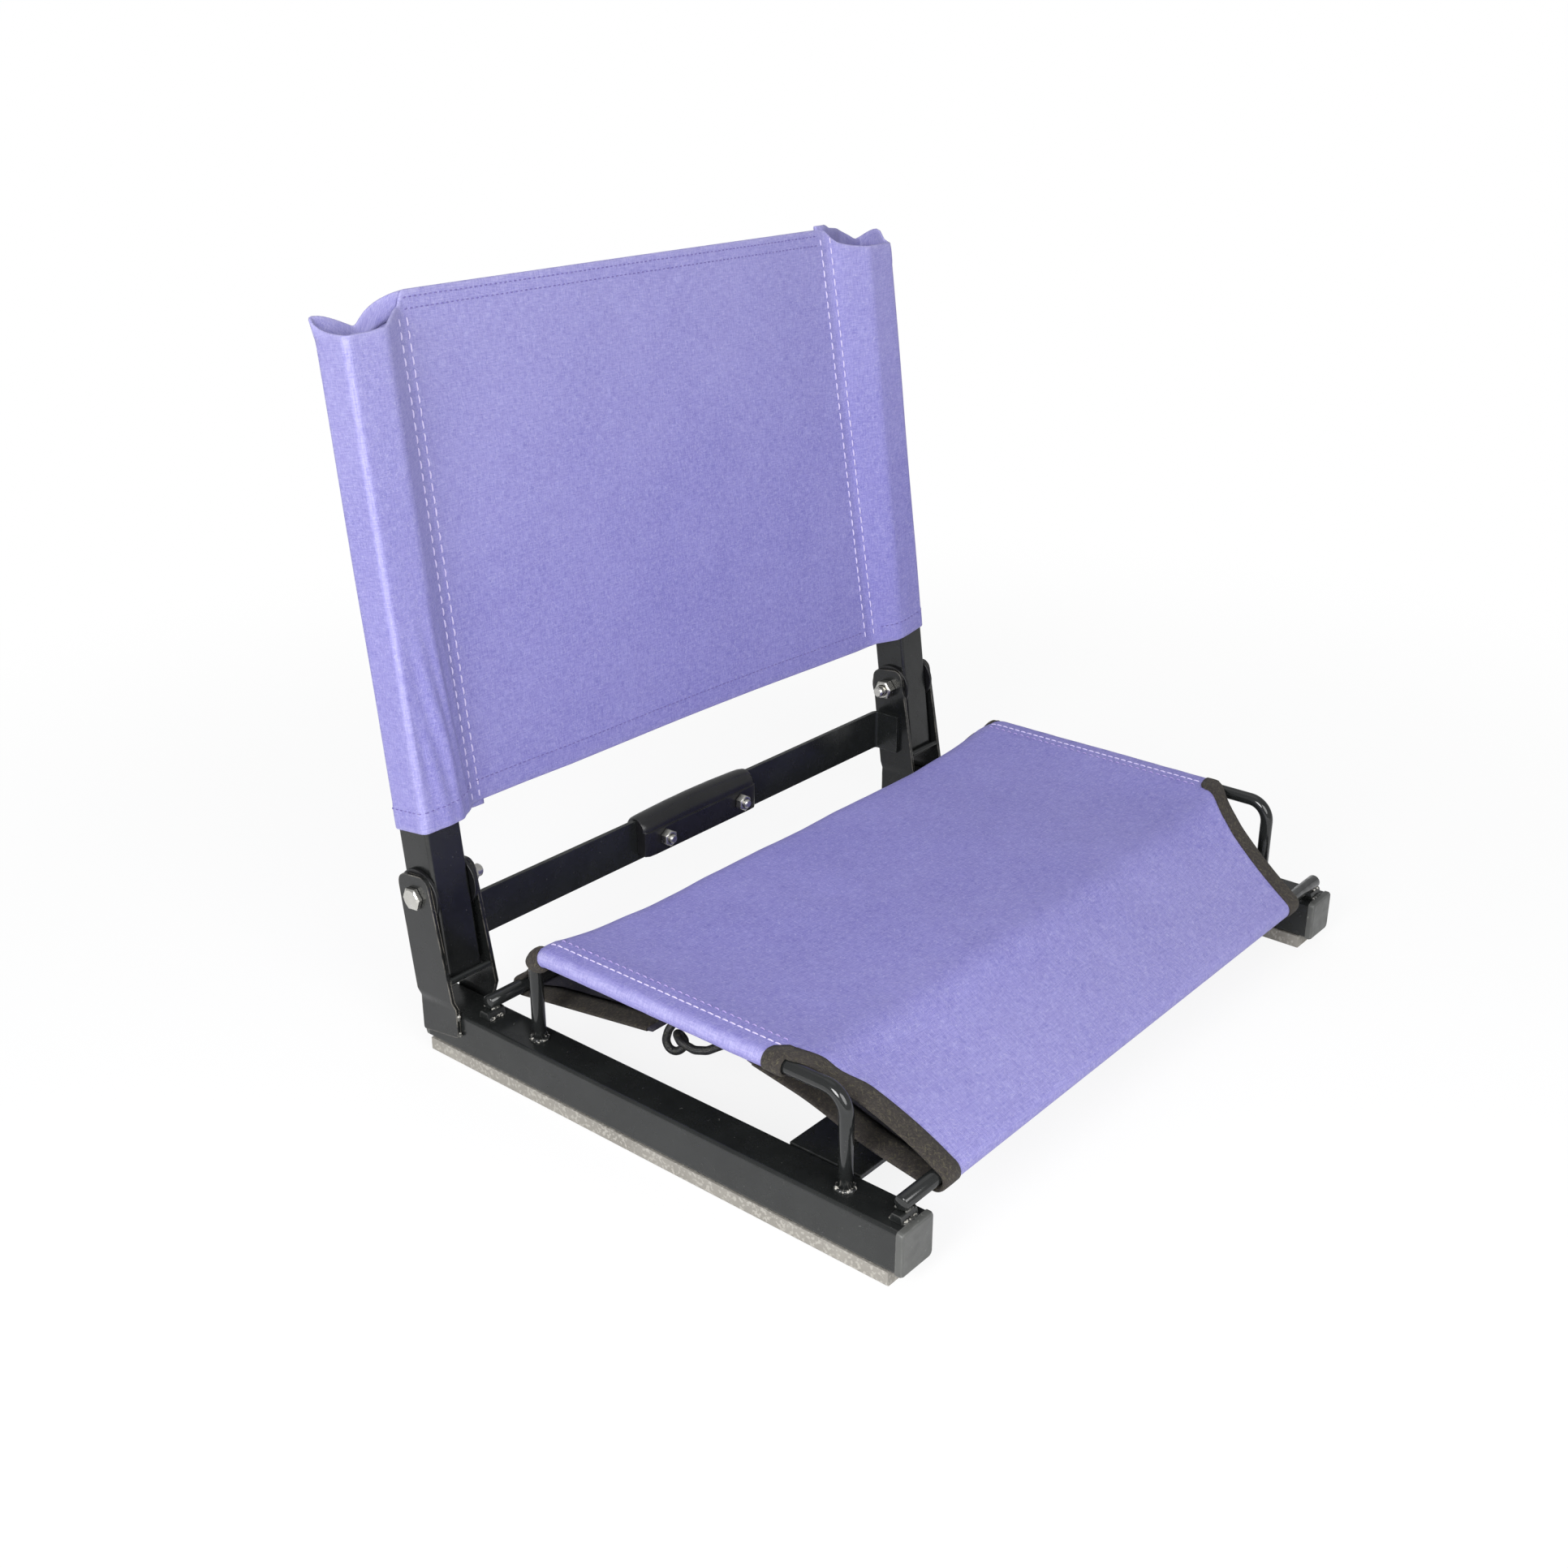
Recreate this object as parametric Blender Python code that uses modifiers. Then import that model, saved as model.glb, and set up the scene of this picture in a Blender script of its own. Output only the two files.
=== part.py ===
"""Folding stadium chair: a tubular base, a backrest that folds forward, a laced seat and a back sling.

The base is drawn with y measured backwards from the face of the front caps.
The backrest is drawn in its own frame: z runs up the posts and the pivot bolts lie on x.
"""
import math

import bmesh
import bpy
from mathutils import Matrix, Vector

MM = 0.001

# Gap left between two pieces that touch
FIT = 0.3 * MM

# Square steel tube of the rails and the posts
TUBE_SIDE = 25.4 * MM
TUBE_WALL = 1.6 * MM
TUBE_CORNER = 2.4 * MM
RAIL_LENGTH = 345.0 * MM

# Plastic plugs in the tube ends
CAP_LIP = 4.0 * MM
CAP_OVERHANG = 0.5 * MM
CAP_INSERT = 14.0 * MM
CAP_TAPER = 1.5 * MM

# Rubber strip under each rail
STRIP_HEIGHT = 8.6 * MM
STRIP_FRONT = 8.5 * MM
STRIP_REAR_INSET = 0.8 * MM
STRIP_CORNER = 1.5 * MM

# Backrest posts and their pivot
PIVOT_INSET = 4.0 * MM
PIVOT_RISE = 70.4 * MM
RECLINE = math.radians(7.3)
POST_ABOVE = 301.0 * MM
POST_FOOT_RISE = 17.4 * MM
POST_CAP_LIP = 2.0 * MM
POST_TOE_IN = math.radians(0.6)

# Pivot hardware
BOLT_DIA = 7.9 * MM
BOLT_HEX = 12.7 * MM
BOLT_HEAD = 3.2 * MM
NUT_HEIGHT = 6.8 * MM
THREAD_SHOWING = 6.0 * MM
HOLE_CLEARANCE = 0.3 * MM
DISC_DIA = 33.0 * MM
DISC_THICK = 2.3 * MM

# Side plates that carry each post
PLATE_THICK = 2.4 * MM
PLATE_ABOVE = 13.8 * MM
PLATE_EDGE = 0.2 * MM
PLATE_CORNER = 7.0 * MM
PLATE_FOOT_FRONT = 25.5 * MM
PLATE_FOOT_REAR = 5.5 * MM
PLATE_FOOT_DROP = 19.0 * MM
PLATE_FRONT_DROP = 14.25 * MM
PLATE_FOOT_CORNER = 1.5 * MM
JOGGLE_LOW = 4.0 * MM
JOGGLE_RISE = 6.0 * MM
STOP_PIN_DIA = 4.0 * MM

# Round rods of the seat frame
SIDE_ROD_DIA = 8.0 * MM
SIDE_ROD_RISE = 55.4 * MM
SIDE_ROD_BEND = 13.0 * MM
CROSS_ROD_DIA = 8.6 * MM
CROSS_ROD_OVERHANG = 3.2 * MM
FRONT_ROD_SETBACK = 9.0 * MM
FRONT_ROD_TO_LEG = 36.0 * MM
REAR_ROD_TO_LEG = 40.0 * MM
REAR_ROD_TO_PIVOT = 39.3 * MM
SADDLE_HEIGHT = 4.4 * MM
SADDLE_LENGTH = 13.0 * MM
SADDLE_DEPTH = 8.0 * MM
SADDLE_CORNER = 1.0 * MM

# Front cross plate and the tabs it is bolted to
CROSS_PLATE_DEPTH = 46.5 * MM
CROSS_PLATE_SETBACK = 68.8 * MM
CROSS_PLATE_THICK = 3.0 * MM
TAB_REACH = 36.0 * MM
TAB_DEPTH = 34.0 * MM
TAB_BOLT_REACH = 22.5 * MM
TAB_CORNER = 4.0 * MM
SCREW_DIA = 5.0 * MM
SCREW_HEX = 8.0 * MM
SCREW_HEAD = 3.5 * MM
SCREW_NUT = 4.0 * MM
SCREW_SHOWING = 3.0 * MM

# Carry bar between the brackets, with its grip
BAR_THICK = 3.0 * MM
BAR_HEIGHT = 28.5 * MM
BAR_RISE = 36.2 * MM
BAR_BEHIND_PIVOT = 9.2 * MM
BAR_TAB = 21.0 * MM
BAR_BEND = 5.0 * MM
GRIP_LENGTH = 109.0 * MM
GRIP_DEPTH = 22.5 * MM
GRIP_WALL_HEIGHT = 17.0 * MM
GRIP_LIFT = 4.5 * MM
GRIP_CROWN = 1.2 * MM
GRIP_ARCH = 2.0 * MM
GRIP_LEDGE = 1.3 * MM
GRIP_BOLT_SPACING = 74.0 * MM
GRIP_BOLT_DIA = 6.0 * MM
GRIP_BOLT_HEX = 10.0 * MM
GRIP_BOLT_HEAD = 4.0 * MM
GRIP_BOLT_NUT = 5.0 * MM
GRIP_BOLT_SHOWING = 3.0 * MM

# Canvas
CANVAS = 1.2 * MM
BACK_OVER_POST = 30.0 * MM
BACK_BOTTOM = 42.0 * MM
BACK_SLEEVE_DIP = 17.0 * MM
BACK_SLEEVE_DROP = 3.0 * MM
BACK_SEAM_INSET = 20.5 * MM
BACK_SLEEVE_BEND = 20.0 * MM
BACK_SEAM_ALLOWANCE = 9.0 * MM
BACK_SAG = 4.0 * MM
SLEEVE_FRONT_INSET = 39.0 * MM
SLEEVE_REAR_INSET = 1.0 * MM
SEAT_BROW_FRONT = 13.0 * MM
SEAT_BROW_REAR = 10.0 * MM
SEAT_BEND_FRONT = 39.0 * MM
SEAT_BEND_REAR = 20.0 * MM
SEAT_WAIST = 193.0 * MM
SEAT_WAIST_SETBACK = 34.92 * MM
SEAT_FRONT_HALF = 189.0 * MM
SEAT_REAR_HALF = 201.0 * MM
SEAT_TO_SADDLE = 16.8 * MM
FRONT_FLAP_HALF = 200.0 * MM
FRONT_ROLL_SLACK = 1.5 * MM
SEAT_SAG = 8.0 * MM
SEAT_SEAM_ALLOWANCE = 8.0 * MM
SEAT_SEAM_STANDOFF = 3.2 * MM
SEAT_SEAM_EASE = 2.0 * MM
SEAT_SEAM_DIP = 0.6 * MM
FRONT_FLAP_REACH = 122.0 * MM
FRONT_FLAP_RISE = 28.0 * MM
REAR_FLAP_REACH = 107.0 * MM
REAR_FLAP_RISE = 20.0 * MM

# Elastic cord laced between the two flaps under the seat
CORD_DIA = 3.6 * MM
EYELET_CLEARANCE = 1.2 * MM
EYELET_INSET = 11.0 * MM
EYELET_PAIRS = 5
FRONT_EYELET_MARGIN = 25.0 * MM
REAR_EYELET_MARGIN = 26.0 * MM
CORD_SLACK_DROP = 11.0 * MM
CORD_SLACK_BEND = 7.0 * MM
# The cord's free end: offset outwards, share of the way from flap to flap, share of the drop
CORD_SLACK_ROUTE = (
    (12.0 * MM, 0.98, 1.0),
    (21.0 * MM, 0.95, 0.25),
    (23.0 * MM, 0.78, 0.1),
    (18.0 * MM, 0.7, 0.95),
    (15.0 * MM, 0.5, 0.8),
    (6.0 * MM, 0.25, 1.3),
)

# Positions that follow from the sizes above
# The rails lie under the saddles, just outside the seat canvas
rail_x = SEAT_REAR_HALF + SEAT_TO_SADDLE + SADDLE_LENGTH / 2
rail_bottom = STRIP_HEIGHT + FIT
rail_top = rail_bottom + TUBE_SIDE
rail_front = CAP_LIP + FIT
rail_rear = rail_front + RAIL_LENGTH
bore_corner = max(TUBE_CORNER - TUBE_WALL, FIT)
pivot_y = rail_rear - PIVOT_INSET
pivot_z = rail_top + PIVOT_RISE
post_below = PIVOT_RISE - POST_FOOT_RISE
plate_inside = TUBE_SIDE / 2 + DISC_THICK + 2 * FIT
plate_outside = plate_inside + PLATE_THICK
rear_rod_y = pivot_y - REAR_ROD_TO_PIVOT
front_leg_y = FRONT_ROD_SETBACK + FRONT_ROD_TO_LEG
rear_leg_y = rear_rod_y - REAR_ROD_TO_LEG
side_rod_z = rail_top + SIDE_ROD_RISE
cross_rod_z = rail_top + SADDLE_HEIGHT + 2 * FIT + CROSS_ROD_DIA / 2
bar_z = rail_top + BAR_RISE
bar_y = pivot_y + BAR_BEHIND_PIVOT
bolt_hole = BOLT_DIA + 2 * HOLE_CLEARANCE
sleeve_front = front_leg_y + SIDE_ROD_BEND + SLEEVE_FRONT_INSET
sleeve_rear = rear_leg_y - SIDE_ROD_BEND - SLEEVE_REAR_INSET
front_flap_end = Vector((FRONT_ROD_SETBACK + FRONT_FLAP_REACH, rail_top + FRONT_FLAP_RISE))
rear_flap_end = Vector((rear_rod_y - REAR_FLAP_REACH, rail_top + REAR_FLAP_RISE))
front_eyelet_reach = FRONT_FLAP_HALF - FRONT_EYELET_MARGIN
rear_eyelet_reach = SEAT_REAR_HALF - REAR_EYELET_MARGIN

for old in list(bpy.data.objects):
    bpy.data.objects.remove(old, do_unlink=True)

parts = bpy.data.collections.new("stadium_chair")
cutters = bpy.data.collections.new("cutters")
bpy.context.scene.collection.children.link(parts)
bpy.context.scene.collection.children.link(cutters)


def make_material(name, colour, roughness, metallic=0.0):
    made = bpy.data.materials.new(name)
    made.use_nodes = True
    shader = made.node_tree.nodes["Principled BSDF"]
    shader.inputs["Base Color"].default_value = (*colour, 1.0)
    shader.inputs["Roughness"].default_value = roughness
    shader.inputs["Metallic"].default_value = metallic
    return made


COATED_STEEL = ("coated_steel", (0.025, 0.027, 0.027), 0.42)
PLUG_PLASTIC = ("plug_plastic", (0.045, 0.047, 0.046), 0.5)
GREY_RUBBER = ("grey_rubber", (0.26, 0.25, 0.23), 0.85)
ZINC = ("zinc_plate", (0.78, 0.79, 0.8), 0.28, 1.0)
NYLON = ("black_nylon", (0.012, 0.012, 0.013), 0.5)
CANVAS_CLOTH = ("periwinkle_canvas", (0.22, 0.19, 0.56), 0.8)
ELASTIC = ("black_elastic", (0.015, 0.015, 0.016), 0.45)


def empty(name, location, parent=None):
    made = bpy.data.objects.new(name, None)
    made.location = location
    made.parent = parent
    parts.objects.link(made)
    return made


chair = empty("chair", (0, 0, 0))
hinge = empty("backrest_hinge", (0, pivot_y, pivot_z), chair)
hinge.rotation_euler.x = -RECLINE
# The same frame again, for fixed pieces that follow the recline
bracket_frame = empty("bracket_frame", (0, pivot_y, pivot_z), chair)
bracket_frame.rotation_euler.x = -RECLINE


def place(name, mesh, finish, parent, location=(0, 0, 0), rotation=(0, 0, 0), smooth=False):
    made = bpy.data.objects.new(name, mesh)
    made.location = location
    made.rotation_euler = rotation
    made.parent = parent
    mesh.materials.clear()
    mesh.materials.append(make_material(name + "_" + finish[0], *finish[1:]))
    for face in mesh.polygons:
        face.use_smooth = smooth
    parts.objects.link(made)
    return made


def to_mesh(name, builder):
    mesh = bpy.data.meshes.new(name)
    bmesh.ops.recalc_face_normals(builder, faces=builder.faces)
    builder.to_mesh(mesh)
    builder.free()
    return mesh


def curve_mesh(name, curve):
    """Turn a curve into a plain closed mesh."""
    helper = bpy.data.objects.new(name, curve)
    bpy.context.scene.collection.objects.link(helper)
    bpy.context.view_layer.update()
    evaluated = helper.evaluated_get(bpy.context.evaluated_depsgraph_get())
    mesh = bpy.data.meshes.new_from_object(evaluated)
    bpy.data.objects.remove(helper, do_unlink=True)
    builder = bmesh.new()
    builder.from_mesh(mesh)
    bmesh.ops.remove_doubles(builder, verts=builder.verts, dist=1e-6)
    bpy.data.meshes.remove(mesh)
    return to_mesh(name, builder)


def prism(name, outlines, length, axes):
    """Flat outlines (the first solid, the rest holes) pushed out by length, centred on the outline plane.

    axes names the world axes of the outline's two directions and of the push.
    """
    curve = bpy.data.curves.new(name, "CURVE")
    curve.dimensions = "2D"
    curve.fill_mode = "BOTH"
    curve.extrude = length / 2
    for outline in outlines:
        spline = curve.splines.new("POLY")
        spline.points.add(len(outline) - 1)
        for point, (a, b) in zip(spline.points, outline):
            point.co = (a, b, 0, 1)
        spline.use_cyclic_u = True
    mesh = curve_mesh(name, curve)
    units = {"x": Vector((1, 0, 0)), "y": Vector((0, 1, 0)), "z": Vector((0, 0, 1))}
    turn = Matrix([units[axis] for axis in axes]).transposed()
    mesh.transform(turn.to_4x4())
    if turn.determinant() < 0:
        mesh.flip_normals()
    return mesh


def loft(name, rings, looped=False):
    """Skin over rings of equally many points, capped at both ends or joined end to end."""
    builder = bmesh.new()
    layers = [[builder.verts.new(point) for point in ring] for ring in rings]
    pairs = list(zip(layers, layers[1:]))
    if looped:
        pairs.append((layers[-1], layers[0]))
    else:
        builder.faces.new(layers[0])
        builder.faces.new(layers[-1])
    for low, high in pairs:
        for i in range(len(low)):
            j = (i + 1) % len(low)
            builder.faces.new((low[i], low[j], high[j], high[i]))
    return to_mesh(name, builder)


def sheet(name, builder, finish, parent):
    """Give a folded surface the thickness of the canvas."""
    made = place(name, to_mesh(name, builder), finish, parent, smooth=True)
    solid = made.modifiers.new("canvas", "SOLIDIFY")
    solid.thickness = CANVAS
    solid.offset = 0.0
    solid.use_even_offset = True
    return made


def circle(radius, count=24):
    angles = [math.tau * k / count for k in range(count)]
    return [(radius * math.cos(angle), radius * math.sin(angle)) for angle in angles]


def hexagon(across, count=24):
    points = []
    for k in range(count):
        angle = math.tau * k / count
        fold = (angle + math.pi / 6) % (math.pi / 3) - math.pi / 6
        reach = across / 2 / math.cos(fold)
        points.append((reach * math.cos(angle), reach * math.sin(angle)))
    return points


def rounded_square(side, corner, count=4):
    """A square outline with rounded corners; count steps in each corner."""
    half = side / 2 - corner
    points = []
    for quarter in range(4):
        centre = math.tau * (quarter + 0.5) / 4
        cx = half * math.copysign(1, math.cos(centre))
        cy = half * math.copysign(1, math.sin(centre))
        for k in range(count + 1):
            angle = math.tau * (quarter + k / count) / 4
            points.append((cx + corner * math.cos(angle), cy + corner * math.sin(angle)))
    return points


def rounded(points, radii, steps=5):
    """Round the inner corners of an open path; radii holds one radius for each point."""
    points = [Vector(point) for point in points]
    path = [points[0]]
    for before, at, after, radius in zip(points, points[1:], points[2:], radii[1:]):
        back = (before - at).normalized()
        ahead = (after - at).normalized()
        turn = math.pi - back.angle(ahead)
        if radius <= 0 or turn < 1e-4:
            path.append(at)
            continue
        trim = radius * math.tan(turn / 2)
        centre = at + (back + ahead).normalized() * (radius / math.cos(turn / 2))
        start = at + back * trim - centre
        end = at + ahead * trim - centre
        for k in range(steps + 1):
            share = k / steps
            mixed = start * math.sin((1 - share) * turn) + end * math.sin(share * turn)
            path.append(centre + mixed / math.sin(turn))
    path.append(points[-1])
    return path


def rounded_outline(corners, radii, steps=5):
    """Round a closed outline; a radius of zero keeps a corner sharp."""
    middle = (Vector(corners[-1]) + Vector(corners[0])) / 2
    path = rounded([middle, *corners, middle], [0, *radii, 0], steps)
    return [tuple(point) for point in path[1:-1]]


def rod(name, path, diameter, sides=2):
    """A round bar along a path of points."""
    curve = bpy.data.curves.new(name, "CURVE")
    curve.dimensions = "3D"
    curve.bevel_depth = diameter / 2
    curve.bevel_resolution = sides
    curve.use_fill_caps = True
    curve.resolution_u = 1
    curve.render_resolution_u = 0
    spline = curve.splines.new("POLY")
    spline.points.add(len(path) - 1)
    for point, spot in zip(spline.points, path):
        point.co = (*spot, 1)
    return curve_mesh(name, curve)


def at_height(ring, z):
    return [(x, y, z) for x, y in ring]


def bolt_mesh(name, diameter, length, across, head):
    """Hex bolt on z: underside of the head at zero, shank downwards."""
    chamfer = 0.12 * across
    rings = [
        at_height(circle(0.45 * across), head),
        at_height(hexagon(across), head - chamfer / 2),
        at_height(hexagon(across), 0),
        at_height(circle(diameter / 2), 0),
        at_height(circle(diameter / 2), -length + 0.15 * diameter),
        at_height(circle(0.38 * diameter), -length),
    ]
    return loft(name, rings)


def nut_mesh(name, diameter, across, height):
    """Hex nut on z from zero upwards, clear of a bolt of the given diameter."""
    bore = circle(diameter / 2 + HOLE_CLEARANCE)
    chamfer = 0.06 * across
    rings = [
        at_height(bore, 0),
        at_height(hexagon(across), 0),
        at_height(hexagon(across), height - chamfer),
        at_height(circle(0.45 * across), height),
        at_height(bore, height),
    ]
    return loft(name, rings, looped=True)


def plug_mesh(name, side, lip, overhang):
    """Tube plug on z: the lip stands from zero upwards, the insert hangs below."""
    inside = TUBE_SIDE - 2 * TUBE_WALL - 2 * FIT
    edge = 0.4 * lip
    outer = side + 2 * overhang
    rings = [
        at_height(rounded_square(inside - CAP_TAPER, bore_corner), -CAP_INSERT),
        at_height(rounded_square(inside, bore_corner), -CAP_INSERT + CAP_TAPER),
        at_height(rounded_square(inside, bore_corner), FIT),
        at_height(rounded_square(outer, TUBE_CORNER), FIT),
        at_height(rounded_square(outer, TUBE_CORNER), FIT + lip - edge),
        at_height(rounded_square(outer - 0.6 * edge, TUBE_CORNER), FIT + lip - 0.3 * edge),
        at_height(rounded_square(outer - 2 * edge, TUBE_CORNER), FIT + lip),
    ]
    return loft(name, rings)


def tube_mesh(name, length, axes):
    outer = rounded_square(TUBE_SIDE, TUBE_CORNER)
    inner = rounded_square(TUBE_SIDE - 2 * TUBE_WALL, bore_corner)
    return prism(name, [outer, inner], length, axes)


def drill(target, name, diameter, length, location, rotation, parent, count=24):
    """Cut a round hole on the cutter's z axis."""
    ring = circle(diameter / 2, count)
    mesh = loft(name, [at_height(ring, -length / 2), at_height(ring, length / 2)])
    cutter = bpy.data.objects.new(name, mesh)
    cutter.location = location
    cutter.rotation_euler = rotation
    cutter.parent = parent
    cutter.hide_render = True
    cutter.display_type = "WIRE"
    cutters.objects.link(cutter)
    cut = target.modifiers.new(name, "BOOLEAN")
    cut.operation = "DIFFERENCE"
    cut.solver = "EXACT"
    cut.object = cutter


SIDES = (("left", -1), ("right", 1))
ALONG_X = (0, math.pi / 2, 0)
ALONG_Y = (math.pi / 2, 0, 0)


def build_rails():
    rail_mid = (rail_front + rail_rear) / 2
    rail_height = (rail_bottom + rail_top) / 2
    strip_rear = rail_rear - STRIP_REAR_INSET
    strip_mid = (STRIP_FRONT + strip_rear) / 2
    half = TUBE_SIDE / 2
    strip_corners = [(-half, 0), (half, 0), (half, STRIP_HEIGHT), (-half, STRIP_HEIGHT)]
    strip = rounded_outline(strip_corners, [STRIP_CORNER, STRIP_CORNER, 0, 0])
    for side, sign in SIDES:
        x = sign * rail_x
        rail = tube_mesh("rail_" + side, RAIL_LENGTH, "xzy")
        place("rail_" + side, rail, COATED_STEEL, chair, (x, rail_mid, rail_height))
        plug = plug_mesh("front_cap_" + side, TUBE_SIDE, CAP_LIP, CAP_OVERHANG)
        place("front_cap_" + side, plug, PLUG_PLASTIC, chair, (x, rail_front, rail_height), ALONG_Y)
        plug = plug_mesh("rear_cap_" + side, TUBE_SIDE, CAP_LIP, 0)
        backwards = (-math.pi / 2, 0, 0)
        place("rear_cap_" + side, plug, PLUG_PLASTIC, chair, (x, rail_rear, rail_height), backwards)
        rubber = prism("grip_strip_" + side, [strip], strip_rear - STRIP_FRONT, "xzy")
        place("grip_strip_" + side, rubber, GREY_RUBBER, chair, (x, strip_mid, 0))


def plate_outline():
    """Side view of a bracket plate: a leaning strip on a foot that laps the rail."""
    lean = math.tan(RECLINE)
    reach = TUBE_SIDE / 2 + PLATE_EDGE
    top = PLATE_ABOVE
    foot_top = rail_top + JOGGLE_LOW + JOGGLE_RISE
    foot_rise = foot_top - pivot_z
    front_top = (pivot_y - reach + top * lean, pivot_z + top + reach * lean)
    rear_top = (pivot_y + reach + top * lean, pivot_z + top - reach * lean)
    rear_waist = (pivot_y + reach + foot_rise * lean, foot_top)
    rear_foot = (pivot_y + PLATE_FOOT_REAR, rail_top)
    rear_end = (pivot_y + PLATE_FOOT_REAR, rail_top - PLATE_FOOT_DROP)
    front_end = (pivot_y - PLATE_FOOT_FRONT, rail_top - PLATE_FRONT_DROP)
    front_foot = (pivot_y - PLATE_FOOT_FRONT, rail_top)
    pin_front = TUBE_SIDE / 2 + STOP_PIN_DIA + 3 * FIT
    front_waist = (pivot_y - pin_front + foot_rise * lean, foot_top)
    corners = [front_top, rear_top, rear_waist, rear_foot, rear_end, front_end, front_foot, front_waist]
    radii = [PLATE_CORNER, PLATE_CORNER, 0, 0, PLATE_FOOT_CORNER, PLATE_FOOT_CORNER, 0, 0]
    return rounded_outline(corners, radii)


def plate_section(sign):
    """End view of a bracket plate: pressed in below the joggle so that the foot laps the rail."""
    low = rail_top + JOGGLE_LOW
    high = low + JOGGLE_RISE
    rail_side = TUBE_SIDE / 2 + FIT
    ceiling = pivot_z + PLATE_ABOVE + TUBE_SIDE
    edge = [(plate_inside, ceiling), (plate_inside, high), (rail_side, low), (rail_side, 0)]
    outer = [(x + PLATE_THICK, z) for x, z in reversed(edge)]
    return [(sign * x, z) for x, z in edge + outer]


def disc_mesh(name):
    """Spacer disc on z, with a hole for the pivot bolt."""
    bore = circle(bolt_hole / 2, 32)
    rim = circle(DISC_DIA / 2, 32)
    half = DISC_THICK / 2
    rings = [
        at_height(bore, -half),
        at_height(rim, -half),
        at_height(rim, half),
        at_height(bore, half),
    ]
    return loft(name, rings, looped=True)


def build_brackets():
    hole = [(pivot_y + y, pivot_z + z) for y, z in circle(bolt_hole / 2)]
    side_view = [plate_outline(), hole]
    pin_y = -TUBE_SIDE / 2 - FIT - STOP_PIN_DIA / 2
    pin_z = -post_below + STOP_PIN_DIA / 2
    pin_length = 2 * plate_inside - 2 * FIT
    for side, sign in SIDES:
        for face, facing in (("outer", sign), ("inner", -sign)):
            name = "bracket_plate_" + side + "_" + face
            plate = place(name, prism(name, side_view, 4 * TUBE_SIDE, "yzx"), COATED_STEEL, chair)
            plate.location.x = sign * rail_x
            blank = prism(name + "_section", [plate_section(facing)], 4 * TUBE_SIDE, "xzy")
            form = bpy.data.objects.new(name + "_section", blank)
            form.location = (sign * rail_x, pivot_y, 0)
            form.parent = chair
            form.hide_render = True
            form.display_type = "WIRE"
            cutters.objects.link(form)
            trim = plate.modifiers.new("joggle", "BOOLEAN")
            trim.operation = "INTERSECT"
            trim.solver = "EXACT"
            trim.object = form
            disc_x = sign * rail_x + facing * (TUBE_SIDE / 2 + FIT + DISC_THICK / 2)
            name = "spacer_disc_" + side + "_" + face
            place(name, disc_mesh(name), NYLON, bracket_frame, (disc_x, 0, 0), ALONG_X)
        name = "stop_pin_" + side
        pin = rod(name, [(-pin_length / 2, 0, 0), (pin_length / 2, 0, 0)], STOP_PIN_DIA, 3)
        place(name, pin, COATED_STEEL, bracket_frame, (sign * rail_x, pin_y, pin_z), smooth=True)
        grip_length = 2 * plate_outside + NUT_HEIGHT + THREAD_SHOWING + 2 * FIT
        bolt = bolt_mesh("pivot_bolt_" + side, BOLT_DIA, grip_length, BOLT_HEX, BOLT_HEAD)
        outwards = (0, sign * math.pi / 2, 0)
        bolt_x = sign * (rail_x + plate_outside + FIT)
        place("pivot_bolt_" + side, bolt, ZINC, bracket_frame, (bolt_x, 0, 0), outwards)
        nut = nut_mesh("pivot_nut_" + side, BOLT_DIA, BOLT_HEX, NUT_HEIGHT)
        inwards = (0, -sign * math.pi / 2, 0)
        nut_x = sign * (rail_x - plate_outside - FIT)
        place("pivot_nut_" + side, nut, ZINC, bracket_frame, (nut_x, 0, 0), inwards)


def saddle_outline():
    """End view of the block between a rail and a cross rod."""
    half = SADDLE_DEPTH / 2
    corners = [(-half, 0), (half, 0), (0.7 * half, SADDLE_HEIGHT), (-0.7 * half, SADDLE_HEIGHT)]
    return rounded_outline(corners, [0, 0, SADDLE_CORNER, SADDLE_CORNER], 3)


def build_seat_frame():
    for side, sign in SIDES:
        foot = rail_top + FIT
        corners = [
            (0, front_leg_y, foot),
            (0, front_leg_y, side_rod_z),
            (0, rear_leg_y, side_rod_z),
            (0, rear_leg_y, foot),
        ]
        path = rounded(corners, [0, SIDE_ROD_BEND, SIDE_ROD_BEND, 0], 6)
        bent = rod("seat_side_rod_" + side, path, SIDE_ROD_DIA, 3)
        place("seat_side_rod_" + side, bent, COATED_STEEL, chair, (sign * rail_x, 0, 0), smooth=True)
    half = rail_x + CROSS_ROD_OVERHANG
    for name, setback in (("front_rod", FRONT_ROD_SETBACK), ("rear_rod", rear_rod_y)):
        straight = rod(name, [(-half, 0, 0), (half, 0, 0)], CROSS_ROD_DIA, 6)
        place(name, straight, COATED_STEEL, chair, (0, setback, cross_rod_z), smooth=True)
        for side, sign in SIDES:
            saddle = name + "_saddle_" + side
            block = prism(saddle, [saddle_outline()], SADDLE_LENGTH, "yzx")
            place(saddle, block, COATED_STEEL, chair, (sign * rail_x, setback, rail_top + FIT))


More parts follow.
